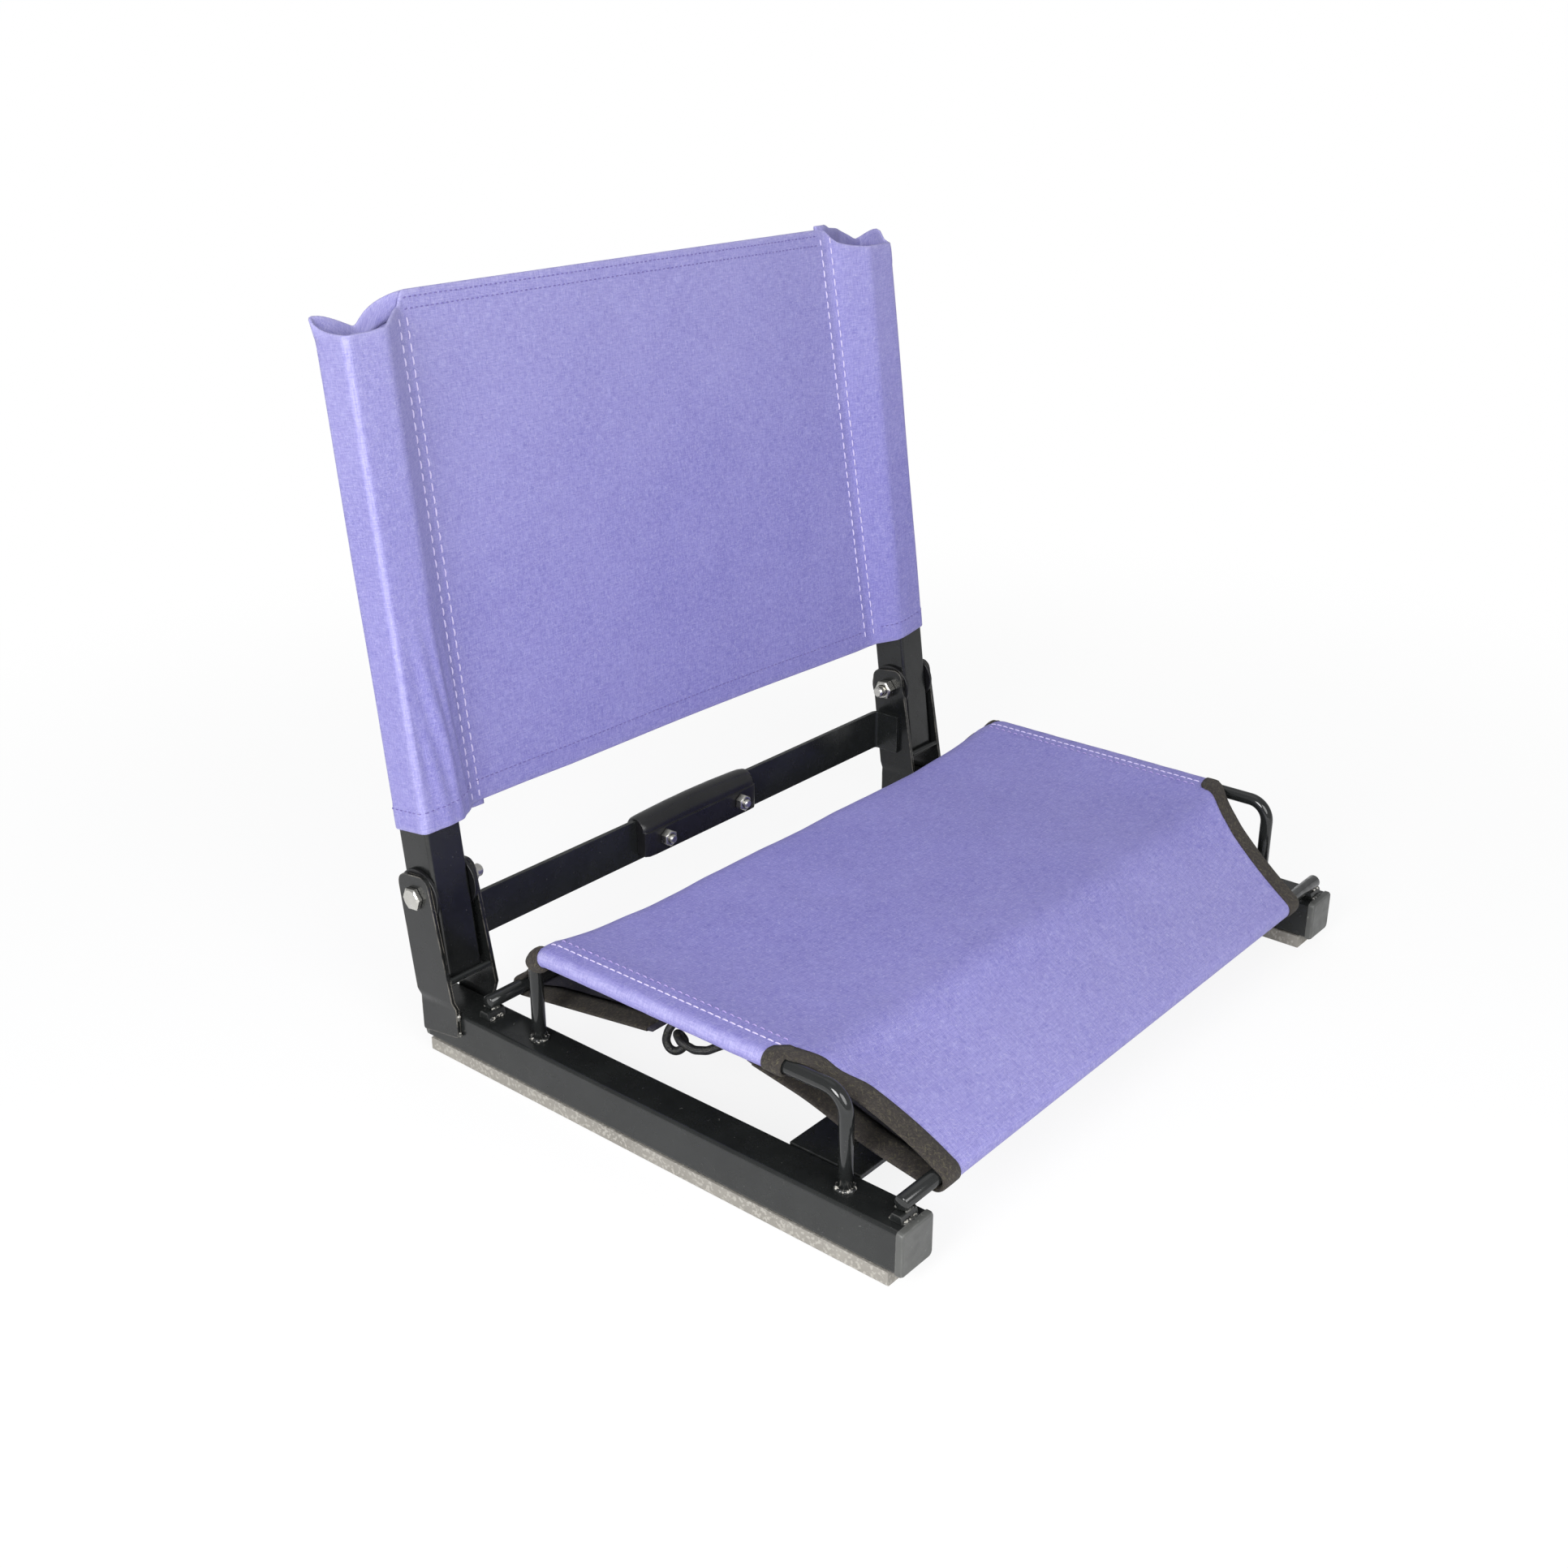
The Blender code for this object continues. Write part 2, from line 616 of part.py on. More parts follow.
def build_cross_plate():
    inside = rail_x - TUBE_SIDE / 2 - FIT
    screw_x = inside - TAB_BOLT_REACH
    hole = circle(SCREW_DIA / 2 + HOLE_CLEARANCE)
    depth = CROSS_PLATE_DEPTH / 2
    blank = [(-inside, -depth), (inside, -depth), (inside, depth), (-inside, depth)]
    holes = [[(sign * screw_x + x, y) for x, y in hole] for side, sign in SIDES]
    plate = prism("front_cross_plate", [blank, *holes], CROSS_PLATE_THICK, "xyz")
    plate_z = rail_top - CROSS_PLATE_THICK / 2
    place("front_cross_plate", plate, COATED_STEEL, chair, (0, CROSS_PLATE_SETBACK, plate_z))
    tab_top = rail_top - CROSS_PLATE_THICK - FIT
    tab_bottom = tab_top - CROSS_PLATE_THICK
    for side, sign in SIDES:
        half = TAB_DEPTH / 2
        corners = [(0, -half), (TAB_REACH, -half), (TAB_REACH, half), (0, half)]
        outline = rounded_outline(corners, [0, TAB_CORNER, TAB_CORNER, 0])
        outline = [(sign * (inside - x), y) for x, y in outline]
        bore = [(sign * screw_x + x, y) for x, y in hole]
        tab = prism("plate_tab_" + side, [outline, bore], CROSS_PLATE_THICK, "xyz")
        tab_z = tab_top - CROSS_PLATE_THICK / 2
        place("plate_tab_" + side, tab, COATED_STEEL, chair, (0, CROSS_PLATE_SETBACK, tab_z))
        length = 2 * CROSS_PLATE_THICK + SCREW_NUT + SCREW_SHOWING
        screw = bolt_mesh("plate_bolt_" + side, SCREW_DIA, length, SCREW_HEX, SCREW_HEAD)
        spot = (sign * screw_x, CROSS_PLATE_SETBACK, rail_top + FIT)
        place("plate_bolt_" + side, screw, ZINC, chair, spot)
        nut = nut_mesh("plate_nut_" + side, SCREW_DIA, SCREW_HEX, SCREW_NUT)
        spot = (sign * screw_x, CROSS_PLATE_SETBACK, tab_bottom - FIT)
        place("plate_nut_" + side, nut, ZINC, chair, spot, (math.pi, 0, 0))


def build_carry_bar():
    inside = rail_x - plate_outside - FIT
    half_bar = BAR_THICK / 2
    outer = [(-inside, -BAR_TAB), (-inside, half_bar), (inside, half_bar), (inside, -BAR_TAB)]
    core = inside - BAR_THICK
    inner = [(core, -BAR_TAB), (core, -half_bar), (-core, -half_bar), (-core, -BAR_TAB)]
    inner_bend = BAR_BEND - BAR_THICK
    radii = [0, BAR_BEND, BAR_BEND, 0, 0, inner_bend, inner_bend, 0]
    strip = prism("carry_bar", [rounded_outline(outer + inner, radii)], BAR_HEIGHT, "xyz")
    bar = place("carry_bar", strip, COATED_STEEL, chair, (0, bar_y, bar_z))

    floor = -BAR_HEIGHT / 2 + GRIP_LIFT
    shoulder = floor + GRIP_WALL_HEIGHT
    slot = half_bar + FIT
    slot_top = BAR_HEIGHT / 2 + FIT
    reach = GRIP_DEPTH / 2
    rings = []
    half_swell = ((1, 0.75), (0.95, 0.95), (0.85, 1), (0.4, 1))
    left_half = [(-share, shrink) for share, shrink in half_swell]
    for share, shrink in (*left_half, (0, 1), *reversed(half_swell)):
        x = share * GRIP_LENGTH / 2
        width = slot + (reach - slot) * shrink
        peak = slot_top + GRIP_CROWN * shrink + GRIP_ARCH * (1 - share * share)
        ring = [(x, -slot, floor), (x, -width, floor), (x, -width, shoulder)]
        for k in range(13):
            angle = math.pi * (1 - k / 12)
            ring.append((x, (width - GRIP_LEDGE) * math.cos(angle), shoulder + (peak - shoulder) * math.sin(angle)))
        ring += [(x, width, shoulder), (x, width, floor), (x, slot, floor), (x, slot, slot_top), (x, -slot, slot_top)]
        rings.append(ring)
    grip = place("carry_grip", loft("carry_grip", rings), NYLON, chair, (0, bar_y, bar_z))

    for side, sign in SIDES:
        x = sign * GRIP_BOLT_SPACING / 2
        hole = GRIP_BOLT_DIA + 2 * HOLE_CLEARANCE
        drill(bar, "bar_hole_" + side, hole, 2 * GRIP_DEPTH, (x, bar_y, bar_z), ALONG_Y, chair)
        drill(grip, "grip_hole_" + side, hole, 2 * GRIP_DEPTH, (x, bar_y, bar_z), ALONG_Y, chair)
        length = GRIP_DEPTH + GRIP_BOLT_NUT + GRIP_BOLT_SHOWING
        bolt = bolt_mesh("grip_bolt_" + side, GRIP_BOLT_DIA, length, GRIP_BOLT_HEX, GRIP_BOLT_HEAD)
        spot = (x, bar_y + reach + FIT, bar_z)
        place("grip_bolt_" + side, bolt, ZINC, chair, spot, (-math.pi / 2, 0, 0))
        nut = nut_mesh("grip_nut_" + side, GRIP_BOLT_DIA, GRIP_BOLT_HEX, GRIP_BOLT_NUT)
        spot = (x, bar_y - reach - FIT, bar_z)
        place("grip_nut_" + side, nut, ZINC, chair, spot, ALONG_Y)


def build_posts():
    length = POST_ABOVE + post_below
    for side, sign in SIDES:
        middle = (POST_ABOVE - post_below) / 2
        frame = empty("post_frame_" + side, (sign * rail_x, 0, 0), hinge)
        frame.rotation_euler.y = -sign * POST_TOE_IN
        tube = tube_mesh("post_" + side, length, "xyz")
        post = place("post_" + side, tube, COATED_STEEL, frame, (0, 0, middle))
        drill(post, "post_hole_" + side, bolt_hole, 2 * TUBE_SIDE, (0, 0, 0), ALONG_X, frame)
        plug = plug_mesh("post_cap_" + side, TUBE_SIDE, POST_CAP_LIP, 0)
        place("post_cap_" + side, plug, PLUG_PLASTIC, frame, (0, 0, POST_ABOVE))
        plug = plug_mesh("post_foot_" + side, TUBE_SIDE, POST_CAP_LIP, 0)
        upside_down = (math.pi, 0, 0)
        place("post_foot_" + side, plug, PLUG_PLASTIC, frame, (0, 0, -post_below), upside_down)


def back_section():
    """Right half of the sling's cross-section: from the rear seam round the post to the middle."""
    wrap = TUBE_SIDE / 2 + FIT + CANVAS / 2
    corner = TUBE_CORNER + FIT + CANVAS / 2
    seam = rail_x - TUBE_SIDE / 2 - BACK_SEAM_INSET
    lap = CANVAS + FIT
    corners = [
        (seam - BACK_SEAM_ALLOWANCE, lap),
        (seam, lap),
        (rail_x - wrap, wrap),
        (rail_x + wrap, wrap),
        (rail_x + wrap, -wrap),
        (rail_x - wrap, -wrap),
        (seam, 0),
        (seam - BACK_SEAM_ALLOWANCE, 0),
    ]
    path = rounded(corners, [0, BACK_SLEEVE_BEND, *[corner] * 4, BACK_SLEEVE_BEND, 0], 3)
    for share in (0.75, 0.5, 0.25, 0):
        path.append(Vector((share * (seam - BACK_SEAM_ALLOWANCE), 0)))
    return path


def ease(share):
    """Smooth step from zero to one."""
    share = min(1.0, max(0.0, share))
    return share * share * (3 - 2 * share)


def back_hem(x):
    """Bottom and top of the sling at a distance x from its middle."""
    seam = rail_x - TUBE_SIDE / 2 - BACK_SEAM_INSET
    post = rail_x - TUBE_SIDE / 2
    dip = ease((x - seam) / (post - seam)) - 0.55 * ease((x - post) / TUBE_SIDE)
    drop = ease((x - seam) / (post - seam))
    back_top = POST_ABOVE + BACK_OVER_POST
    return BACK_BOTTOM - BACK_SLEEVE_DROP * drop, back_top - BACK_SLEEVE_DIP * dip


def build_back_sling():
    half = back_section()
    seam = rail_x - TUBE_SIDE / 2 - BACK_SEAM_INSET
    section = half + [Vector((-point.x, point.y)) for point in reversed(half[:-1])]
    builder = bmesh.new()
    rows = []
    steps = 6
    for k in range(steps + 1):
        row = []
        for x, y in section:
            bottom, top = back_hem(abs(x))
            z = bottom + (top - bottom) * k / steps
            inside = max(0.0, 1 - (x / seam) ** 2)
            toe_in = math.copysign(z * math.tan(POST_TOE_IN), x) * min(1.0, abs(x) / seam)
            row.append(builder.verts.new((x - toe_in, y + BACK_SAG * inside, z)))
        rows.append(row)
    for low, high in zip(rows, rows[1:]):
        for i in range(len(low) - 1):
            builder.faces.new((low[i], low[i + 1], high[i + 1], high[i]))
    sheet("back_sling", builder, CANVAS_CLOTH, hinge)


def tangent(point, centre, radius, turn):
    """Angle on a circle where the line from an outside point touches it; turn picks the side."""
    away = Vector(point) - Vector(centre)
    return math.atan2(away.y, away.x) + turn * math.acos(radius / away.length)


def arc(centre, radius, start, end, steps):
    angles = [start + (end - start) * k / steps for k in range(steps + 1)]
    return [Vector((centre[0] + radius * math.cos(a), centre[1] + radius * math.sin(a))) for a in angles]


def split(start, end, steps):
    """Points between two ends, both left out."""
    return [start.lerp(end, k / steps) for k in range(1, steps)]


def front_roll():
    """Centre and radius of the canvas rolled loosely round the front rod; its top stays on the rod."""
    radius = CROSS_ROD_DIA / 2 + FIT + CANVAS / 2 + FRONT_ROLL_SLACK
    return (FRONT_ROD_SETBACK - 0.6 * FRONT_ROLL_SLACK, cross_rod_z - 0.6 * FRONT_ROLL_SLACK), radius


def rear_roll():
    """Centre and radius of the canvas drawn tight round the rear rod."""
    return (rear_rod_y, cross_rod_z), CROSS_ROD_DIA / 2 + FIT + CANVAS / 2


def seat_profile():
    """Side view of the seat canvas: (y, z) points, each with its half width and its share of the sag."""
    top = side_rod_z + SIDE_ROD_DIA / 2 + FIT + CANVAS / 2
    front, roll = front_roll()
    rear, wrap = rear_roll()
    crest_front = Vector((sleeve_front - SEAT_BROW_FRONT, top))
    crest_rear = Vector((sleeve_rear + SEAT_BROW_REAR, top))
    under = tangent(front_flap_end, front, roll, -1) + math.tau
    over = tangent(crest_front, front, roll, 1)
    front_wrap = arc(front, roll, under, over, 6)
    over = tangent(crest_rear, rear, wrap, -1)
    under = tangent(rear_flap_end, rear, wrap, 1)
    rear_wrap = arc(rear, wrap, over, under - math.tau, 6)
    crests = [front_wrap[-1], crest_front, crest_rear, rear_wrap[0]]
    crown = rounded(crests, [0, SEAT_BEND_FRONT, SEAT_BEND_REAR, 0], 4)
    low = [front_flap_end, *split(front_flap_end, front_wrap[0], 4), *front_wrap]
    slope = split(crown[0], crown[1], 5)
    top_rows = [Vector((y, top)) for y in sleeve_rows()]
    fall = split(crown[-2], crown[-1], 3)
    high = [*slope, *crown[1:6], *top_rows, *crown[6:11], *fall]
    back = [*rear_wrap, *split(rear_wrap[-1], rear_flap_end, 4), rear_flap_end]
    flare = (FRONT_FLAP_HALF - SEAT_FRONT_HALF) / FRONT_FLAP_REACH
    rows = []
    for point in low:
        behind_rod = max(0, point.x - FRONT_ROD_SETBACK)
        rows.append((point, SEAT_FRONT_HALF + flare * behind_rod, 0))
    for point in high:
        hang = ease((point.y - cross_rod_z) / (top - cross_rod_z))
        rows.append((point, seat_half_width(point.x), hang))
    rows += [(point, SEAT_REAR_HALF, 0) for point in back]
    return rows


def sleeve_rows():
    steps = 5
    length = sleeve_rear - sleeve_front
    return [sleeve_front + length * k / steps for k in range(steps + 1)]


def seat_half_width(y):
    """Half width of the upper canvas, hollowed at the corners to clear the rod bends."""
    if y < sleeve_front:
        if y < SEAT_WAIST_SETBACK:
            return SEAT_WAIST + (SEAT_FRONT_HALF - SEAT_WAIST) * (1 - y / SEAT_WAIST_SETBACK)
        share = (y - SEAT_WAIST_SETBACK) / (sleeve_front - SEAT_WAIST_SETBACK)
        return SEAT_WAIST + (rail_x - SEAT_WAIST) * share ** 1.4
    if y > sleeve_rear:
        share = min(1.0, (y - sleeve_rear) / (rear_rod_y - sleeve_rear))
        return SEAT_REAR_HALF + (rail_x - SEAT_REAR_HALF) * (1 - share) ** 1.5
    return rail_x


def sleeve_section():
    """Canvas rolled round a side rod, seen along the rod: offsets from the rod's top outwards."""
    wrap = SIDE_ROD_DIA / 2 + FIT + CANVAS / 2
    angles = [math.radians(30 * k) for k in range(1, 10)]
    ring = [(wrap * math.sin(a), wrap * math.cos(a) - wrap) for a in angles]
    lap = CANVAS + FIT
    inner = wrap + SEAT_SEAM_STANDOFF
    ring.append((-inner, -lap - SEAT_SEAM_DIP))
    ring.append((-inner - SEAT_SEAM_EASE, -lap))
    ring.append((-inner - SEAT_SEAM_ALLOWANCE, -lap))
    return ring


def eyelet_spots(reach):
    step = 2 * reach / (EYELET_PAIRS - 1)
    return [-reach + step * k for k in range(EYELET_PAIRS)]


def flap_point(tip, roll, inset):
    """Point on a flap's middle surface, measured in from its free end, and the flap's slope there."""
    centre, radius = roll
    turn = -1 if tip.x > centre[0] else 1
    angle = tangent(tip, centre, radius, turn)
    touch = Vector((centre[0] + radius * math.cos(angle), centre[1] + radius * math.sin(angle)))
    along = (touch - tip).normalized()
    return tip + along * inset, along


def build_seat():
    columns = 8
    builder = bmesh.new()
    rows = []
    for point, half, hang in seat_profile():
        row = []
        for k in range(columns + 1):
            share = 2 * k / columns - 1
            z = point.y - SEAT_SAG * hang * (1 - share ** 6)
            row.append(builder.verts.new((share * half, point.x, z)))
        rows.append(row)
    for low, high in zip(rows, rows[1:]):
        for i in range(columns):
            builder.faces.new((low[i], low[i + 1], high[i + 1], high[i]))
    held = [row for row in rows if abs(abs(row[0].co.x) - rail_x) < 1e-6]
    for end, sign in ((0, -1), (-1, 1)):
        ribs = []
        for row in held:
            edge = row[end]
            rib = [edge]
            for x, z in sleeve_section():
                rib.append(builder.verts.new((edge.co.x + sign * x, edge.co.y, edge.co.z + z)))
            ribs.append(rib)
        for low, high in zip(ribs, ribs[1:]):
            for i in range(len(low) - 1):
                builder.faces.new((low[i], low[i + 1], high[i + 1], high[i]))
    seat = sheet("seat_canvas", builder, CANVAS_CLOTH, chair)
    flaps = (
        ("front", front_flap_end, front_roll(), front_eyelet_reach),
        ("rear", rear_flap_end, rear_roll(), rear_eyelet_reach),
    )
    hole = CORD_DIA + 2 * EYELET_CLEARANCE
    for name, end, roll, reach in flaps:
        spot, along = flap_point(end, roll, EYELET_INSET)
        tilt = (math.atan2(along.y, along.x), 0, 0)
        for number, x in enumerate(eyelet_spots(reach), 1):
            label = name + "_eyelet_" + str(number)
            drill(seat, label, hole, 10 * CANVAS, (x, spot.x, spot.y), tilt, chair, 10)


def flap_stations(end, roll):
    """Above and below a flap, at its eyelets and at its free edge, one cord radius clear of the canvas."""
    eyelet, along = flap_point(end, roll, EYELET_INSET)
    edge, along = flap_point(end, roll, 0)
    up = Vector((-along.y, along.x))
    up *= math.copysign(CANVAS / 2 + CORD_DIA / 2 + 2 * FIT, up.y)
    return [eyelet + up, edge + up], [eyelet - up, edge - up]


def build_lacing():
    """One elastic cord: across above the flaps, down an eyelet, back below them and up the next."""
    front_over, front_under = flap_stations(front_flap_end, front_roll())
    rear_over, rear_under = flap_stations(rear_flap_end, rear_roll())
    gap = rear_under[1].x - front_under[1].x
    low = min(front_under[1].y, rear_under[1].y) - CORD_SLACK_DROP
    path = []
    for outwards, share, rise in CORD_SLACK_ROUTE:
        y = front_under[1].x + share * gap
        path.append(Vector((-front_eyelet_reach - outwards, y, low + rise * CORD_SLACK_DROP)))
    slack = len(path)
    front_turn = (front_under[1], front_under[0], *front_over)
    rear_turn = (rear_over[1], rear_over[0], *rear_under)
    for front_x, rear_x in zip(eyelet_spots(front_eyelet_reach), eyelet_spots(rear_eyelet_reach)):
        path += [Vector((front_x, point.x, point.y)) for point in front_turn]
        path += [Vector((rear_x, point.x, point.y)) for point in rear_turn]
    bend = 0.49 * (front_over[0] - front_under[0]).length
    radii = [0] + [CORD_SLACK_BEND] * (slack - 2) + [bend] * (len(path) - slack) + [0, 0]
    cord = rod("seat_lacing", rounded(path, radii, 3), CORD_DIA, 1)
    place("seat_lacing", cord, ELASTIC, chair, smooth=True)


def centre_footprint():
    """Move the chair so that the middle of its depth lies on y = 0."""
    bpy.context.view_layer.update()
    graph = bpy.context.evaluated_depsgraph_get()
    depths = []
    for made in parts.objects:
        if made.type == "MESH":
            shape = made.evaluated_get(graph)
            depths += [(made.matrix_world @ vert.co).y for vert in shape.data.vertices]
    chair.location.y = -(min(depths) + max(depths)) / 2


build_rails()
build_brackets()
build_seat_frame()
build_cross_plate()
build_carry_bar()
build_posts()
build_back_sling()
build_seat()
build_lacing()
centre_footprint()
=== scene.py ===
# %% [markdown]
# # A folding stadium chair
# The chair is a black steel frame with a purple canvas seat and a purple canvas back that folds down over
# it. The imported CAD model gives every rigid part its place, so this lesson starts from it and dresses it.

# %% Load the imported chair
import math

import bmesh
import bpy
from mathutils import Matrix, Vector, noise


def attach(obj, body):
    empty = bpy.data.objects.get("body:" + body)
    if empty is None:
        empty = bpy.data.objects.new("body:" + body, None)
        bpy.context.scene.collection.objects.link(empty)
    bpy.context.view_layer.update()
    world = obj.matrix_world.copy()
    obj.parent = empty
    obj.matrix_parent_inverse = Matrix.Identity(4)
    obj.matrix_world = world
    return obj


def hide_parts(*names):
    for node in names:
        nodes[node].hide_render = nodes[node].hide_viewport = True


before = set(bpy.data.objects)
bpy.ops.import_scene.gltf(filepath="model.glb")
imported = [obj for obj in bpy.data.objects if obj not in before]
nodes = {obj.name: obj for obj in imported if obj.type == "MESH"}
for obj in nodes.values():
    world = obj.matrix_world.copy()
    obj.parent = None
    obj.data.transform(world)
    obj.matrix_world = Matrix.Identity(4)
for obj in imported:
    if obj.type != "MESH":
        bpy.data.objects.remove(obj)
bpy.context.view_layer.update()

# %% [markdown]
# ## Camera
# The photograph was taken from the front left, a little above the seat. A camera can be aimed by eye, but
# here the edges of the rails, posts and rods were matched to the photograph. That gives the camera's place,
# its three axes and its lens, so they are written down as numbers.

# %% Camera matched to the photograph
SENSOR_MM, LENS_MM = 36, 41.678
CAMERA_PLACE = (-0.816172, -0.612851, 0.576528)
CAMERA_RIGHT = (0.642982, -0.765881, -0.000808)
CAMERA_UP = (0.304673, 0.254815, 0.917738)
CAMERA_BACK = (-0.702672, -0.590336, 0.397185)


def add_object(name, data):
    made = bpy.data.objects.new(name, data)
    bpy.context.scene.collection.objects.link(made)
    return made


lens_data = bpy.data.cameras.new("photo_camera")
lens_data.sensor_width = SENSOR_MM
lens_data.lens = LENS_MM
camera = add_object("photo_camera", lens_data)
axes = Matrix((CAMERA_RIGHT, CAMERA_UP, CAMERA_BACK)).transposed()
camera.matrix_world = Matrix.Translation(CAMERA_PLACE) @ axes.to_4x4()
bpy.context.scene.camera = camera
print("camera at", tuple(round(value, 3) for value in camera.location))

# %% [markdown]
# ## Measures and lines
# The chair was measured in millimetres from the front face of the rail caps, so the pieces are drawn in
# those measures too, and one function turns them into metres. Other helpers round the corners of a line of
# points, as a bent rod or a folded cloth does, and divide it into short steps.

# %% Measures in millimetres, and lines of points
RAIL_X = 224.3
RAIL_TOP = 34.3
FRONT_FACE_Y = -200.22
SIDES = (("left", -1), ("right", 1))
ARC_SHARE = 0.49


def at(x, y, z):
    """A measured point of the chair, in metres."""
    return Vector((x, y + FRONT_FACE_Y, z)) / 1000


def ease(share):
    """A soft step from 0 to 1."""
    share = min(1.0, max(0.0, share))
    return share * share * (3 - 2 * share)


def rounded(points, radii, steps):
    """The line through the points, with an arc at each corner that has a radius."""
    made = []
    for i, (corner, radius) in enumerate(zip(points, radii)):
        back = points[i - 1] - corner
        ahead = points[(i + 1) % len(points)] - corner
        turn = math.pi - back.angle(ahead) if radius else 0.0
        if turn < 1e-4:
            made.append(corner.copy())
            continue
        reach = min(radius * math.tan(turn / 2), ARC_SHARE * back.length, ARC_SHARE * ahead.length)
        bend = reach / math.tan(turn / 2)
        start = corner + back.normalized() * reach
        end = corner + ahead.normalized() * reach
        middle = (back.normalized() + ahead.normalized()).normalized()
        centre = corner + middle * (bend / math.cos(turn / 2))
        for k in range(steps + 1):
            share = k / steps
            first = (start - centre) * (math.sin((1 - share) * turn) / math.sin(turn))
            second = (end - centre) * (math.sin(share * turn) / math.sin(turn))
            made.append(centre + first + second)
    return made


def divided(path, longest):
    """The same line with more points, so that no step is longer than asked."""
    made = [path[0].copy()]
    for start, end in zip(path, path[1:]):
        steps = max(1, math.ceil((end - start).length / longest - 1e-6))
        made += [start.lerp(end, k / steps) for k in range(1, steps + 1)]
    return made


def lengths_along(line):
    """How far along the line each of its points lies."""
    run = [0.0]
    for start, end in zip(line, line[1:]):
        run.append(run[-1] + (end - start).length)
    return run


print("lines ready")

# %% [markdown]
# ## Pieces
# Every piece of this lesson is points and faces. Rows of points make a net of four-cornered faces, and a
# ring of points carried along a line makes a bar. One function turns them into a piece that rides on one of
# the two bodies, the base or the backrest.

# %% Faces, bars and pieces
def net(first, rows, deep, ring=False, loop=False):
    """Faces between rows of points; a ring closes each row, and a loop joins the last row to the first."""
    faces = []
    for i in range(rows if loop else rows - 1):
        low, high = first + i * deep, first + (i + 1) % rows * deep
        for k in range(deep if ring else deep - 1):
            after = (k + 1) % deep
            faces.append((low + k, low + after, high + after, high + k))
    return faces


def bar_faces(first, rows, deep):
    """Faces of a closed bar: its side and both ends."""
    start = tuple(first + k for k in reversed(range(deep)))
    end = tuple(first + (rows - 1) * deep + k for k in range(deep))
    return net(first, rows, deep, ring=True) + [start, end]


def sweep(verts, faces, path, radii, sides=20, flat=None):
    """Add a closed round bar along a path; each point of the path has its own radius."""
    faces += bar_faces(len(verts), len(path), sides)
    run = 0.0
    side = (path[1] - path[0]).normalized().orthogonal().normalized()
    for i, (point, radius) in enumerate(zip(path, radii)):
        ahead = (path[min(i + 1, len(path) - 1)] - path[max(i - 1, 0)]).normalized()
        side = (side - ahead * side.dot(ahead)).normalized()
        other = ahead.cross(side)
        run += (point - path[max(i - 1, 0)]).length
        for k in range(sides):
            angle = math.tau * k / sides
            verts.append(point + (side * math.cos(angle) + other * math.sin(angle)) * radius)
            if flat is not None:
                flat.append((run, abs(k - sides / 2) * math.tau * radius / sides))


def new_piece(name, verts, faces, material, body="base", flat=None, wear_and_light=None):
    """A mesh in metres that rides on a body; the last two lists hold each vertex's cloth map and paling:
    wear, painted light and painted highlights.
    """
    mesh = bpy.data.meshes.new(name)
    mesh.from_pydata([tuple(vert) for vert in verts], [], faces)
    if material:
        mesh.materials.append(material)
    if flat:
        layer = mesh.uv_layers.new(name="cloth")
        for loop in mesh.loops:
            layer.data[loop.index].uv = flat[loop.vertex_index]
    if wear_and_light:
        mesh.attributes.new("wear_and_painted_light", "FLOAT", "POINT").data.foreach_set("value", wear_and_light)
    mesh.polygons.foreach_set("use_smooth", [True] * len(mesh.polygons))
    mesh.update()
    piece = add_object(name, mesh)
    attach(piece, body)
    return piece


print("pieces ready")

# %% [markdown]
# ## Side view of the seat canvas
# The seat is one piece of canvas. It starts at the front flap under the seat, rolls up round the front rod,
# runs back over the two side rods, rolls down round the rear rod and ends in the rear flap. Seen from the
# side that is one line of straight runs and arcs, so the line is drawn first and every seam, tape and
# eyelet is placed along it later. The side sleeves end part of the way round the rods' rear bend.

# %% Line of the seat canvas
CANVAS_HALF = 0.6
SLEEVE_FRONT = 84.0
SEAT_TOP = 94.6
FRONT_FLAP_TIP = Vector((131.0, 62.3))
REAR_FLAP_TIP = Vector((199.0, 54.3))
FRONT_ROLL = (Vector((8.5, 43.1)), 5.9)
REAR_ROLL = (Vector((306.0, 43.6)), 5.2)
CREST_LEAD, CREST_REAR = 8.5, 260.5
CREST_ROUNDS, CREST_STEPS, SLEEVE_END_STEP = (27, 18), 12, 8
WRAP_STEPS, LONGEST_STEP = 18, 4.0


def tangent(point, roll, turn):
    """Angle on a roll where the line from an outside point touches it."""
    away = point - roll[0]
    return math.atan2(away.y, away.x) + turn * math.acos(roll[1] / away.length)


def on_roll(roll, angle):
    return roll[0] + Vector((math.cos(angle), math.sin(angle))) * roll[1]


def wrap(roll, start, end):
    """Canvas round a roll, from one angle to another."""
    return [on_roll(roll, start + (end - start) * k / WRAP_STEPS) for k in range(WRAP_STEPS + 1)]


crest_front = Vector((SLEEVE_FRONT - CREST_LEAD, SEAT_TOP))
crest_rear = Vector((CREST_REAR, SEAT_TOP))
flap_touch = tangent(FRONT_FLAP_TIP, FRONT_ROLL, -1) + math.tau
front_wrap = wrap(FRONT_ROLL, flap_touch, tangent(crest_front, FRONT_ROLL, 1))
flap_touch = tangent(REAR_FLAP_TIP, REAR_ROLL, 1) - math.tau
rear_wrap = wrap(REAR_ROLL, tangent(crest_rear, REAR_ROLL, -1), flap_touch)
crown = rounded([front_wrap[-1], crest_front, crest_rear, rear_wrap[0]], [0, *CREST_ROUNDS, 0], CREST_STEPS)
rear_arc = CREST_STEPS + 2
SLEEVE_REAR = crown[rear_arc + SLEEVE_END_STEP].x
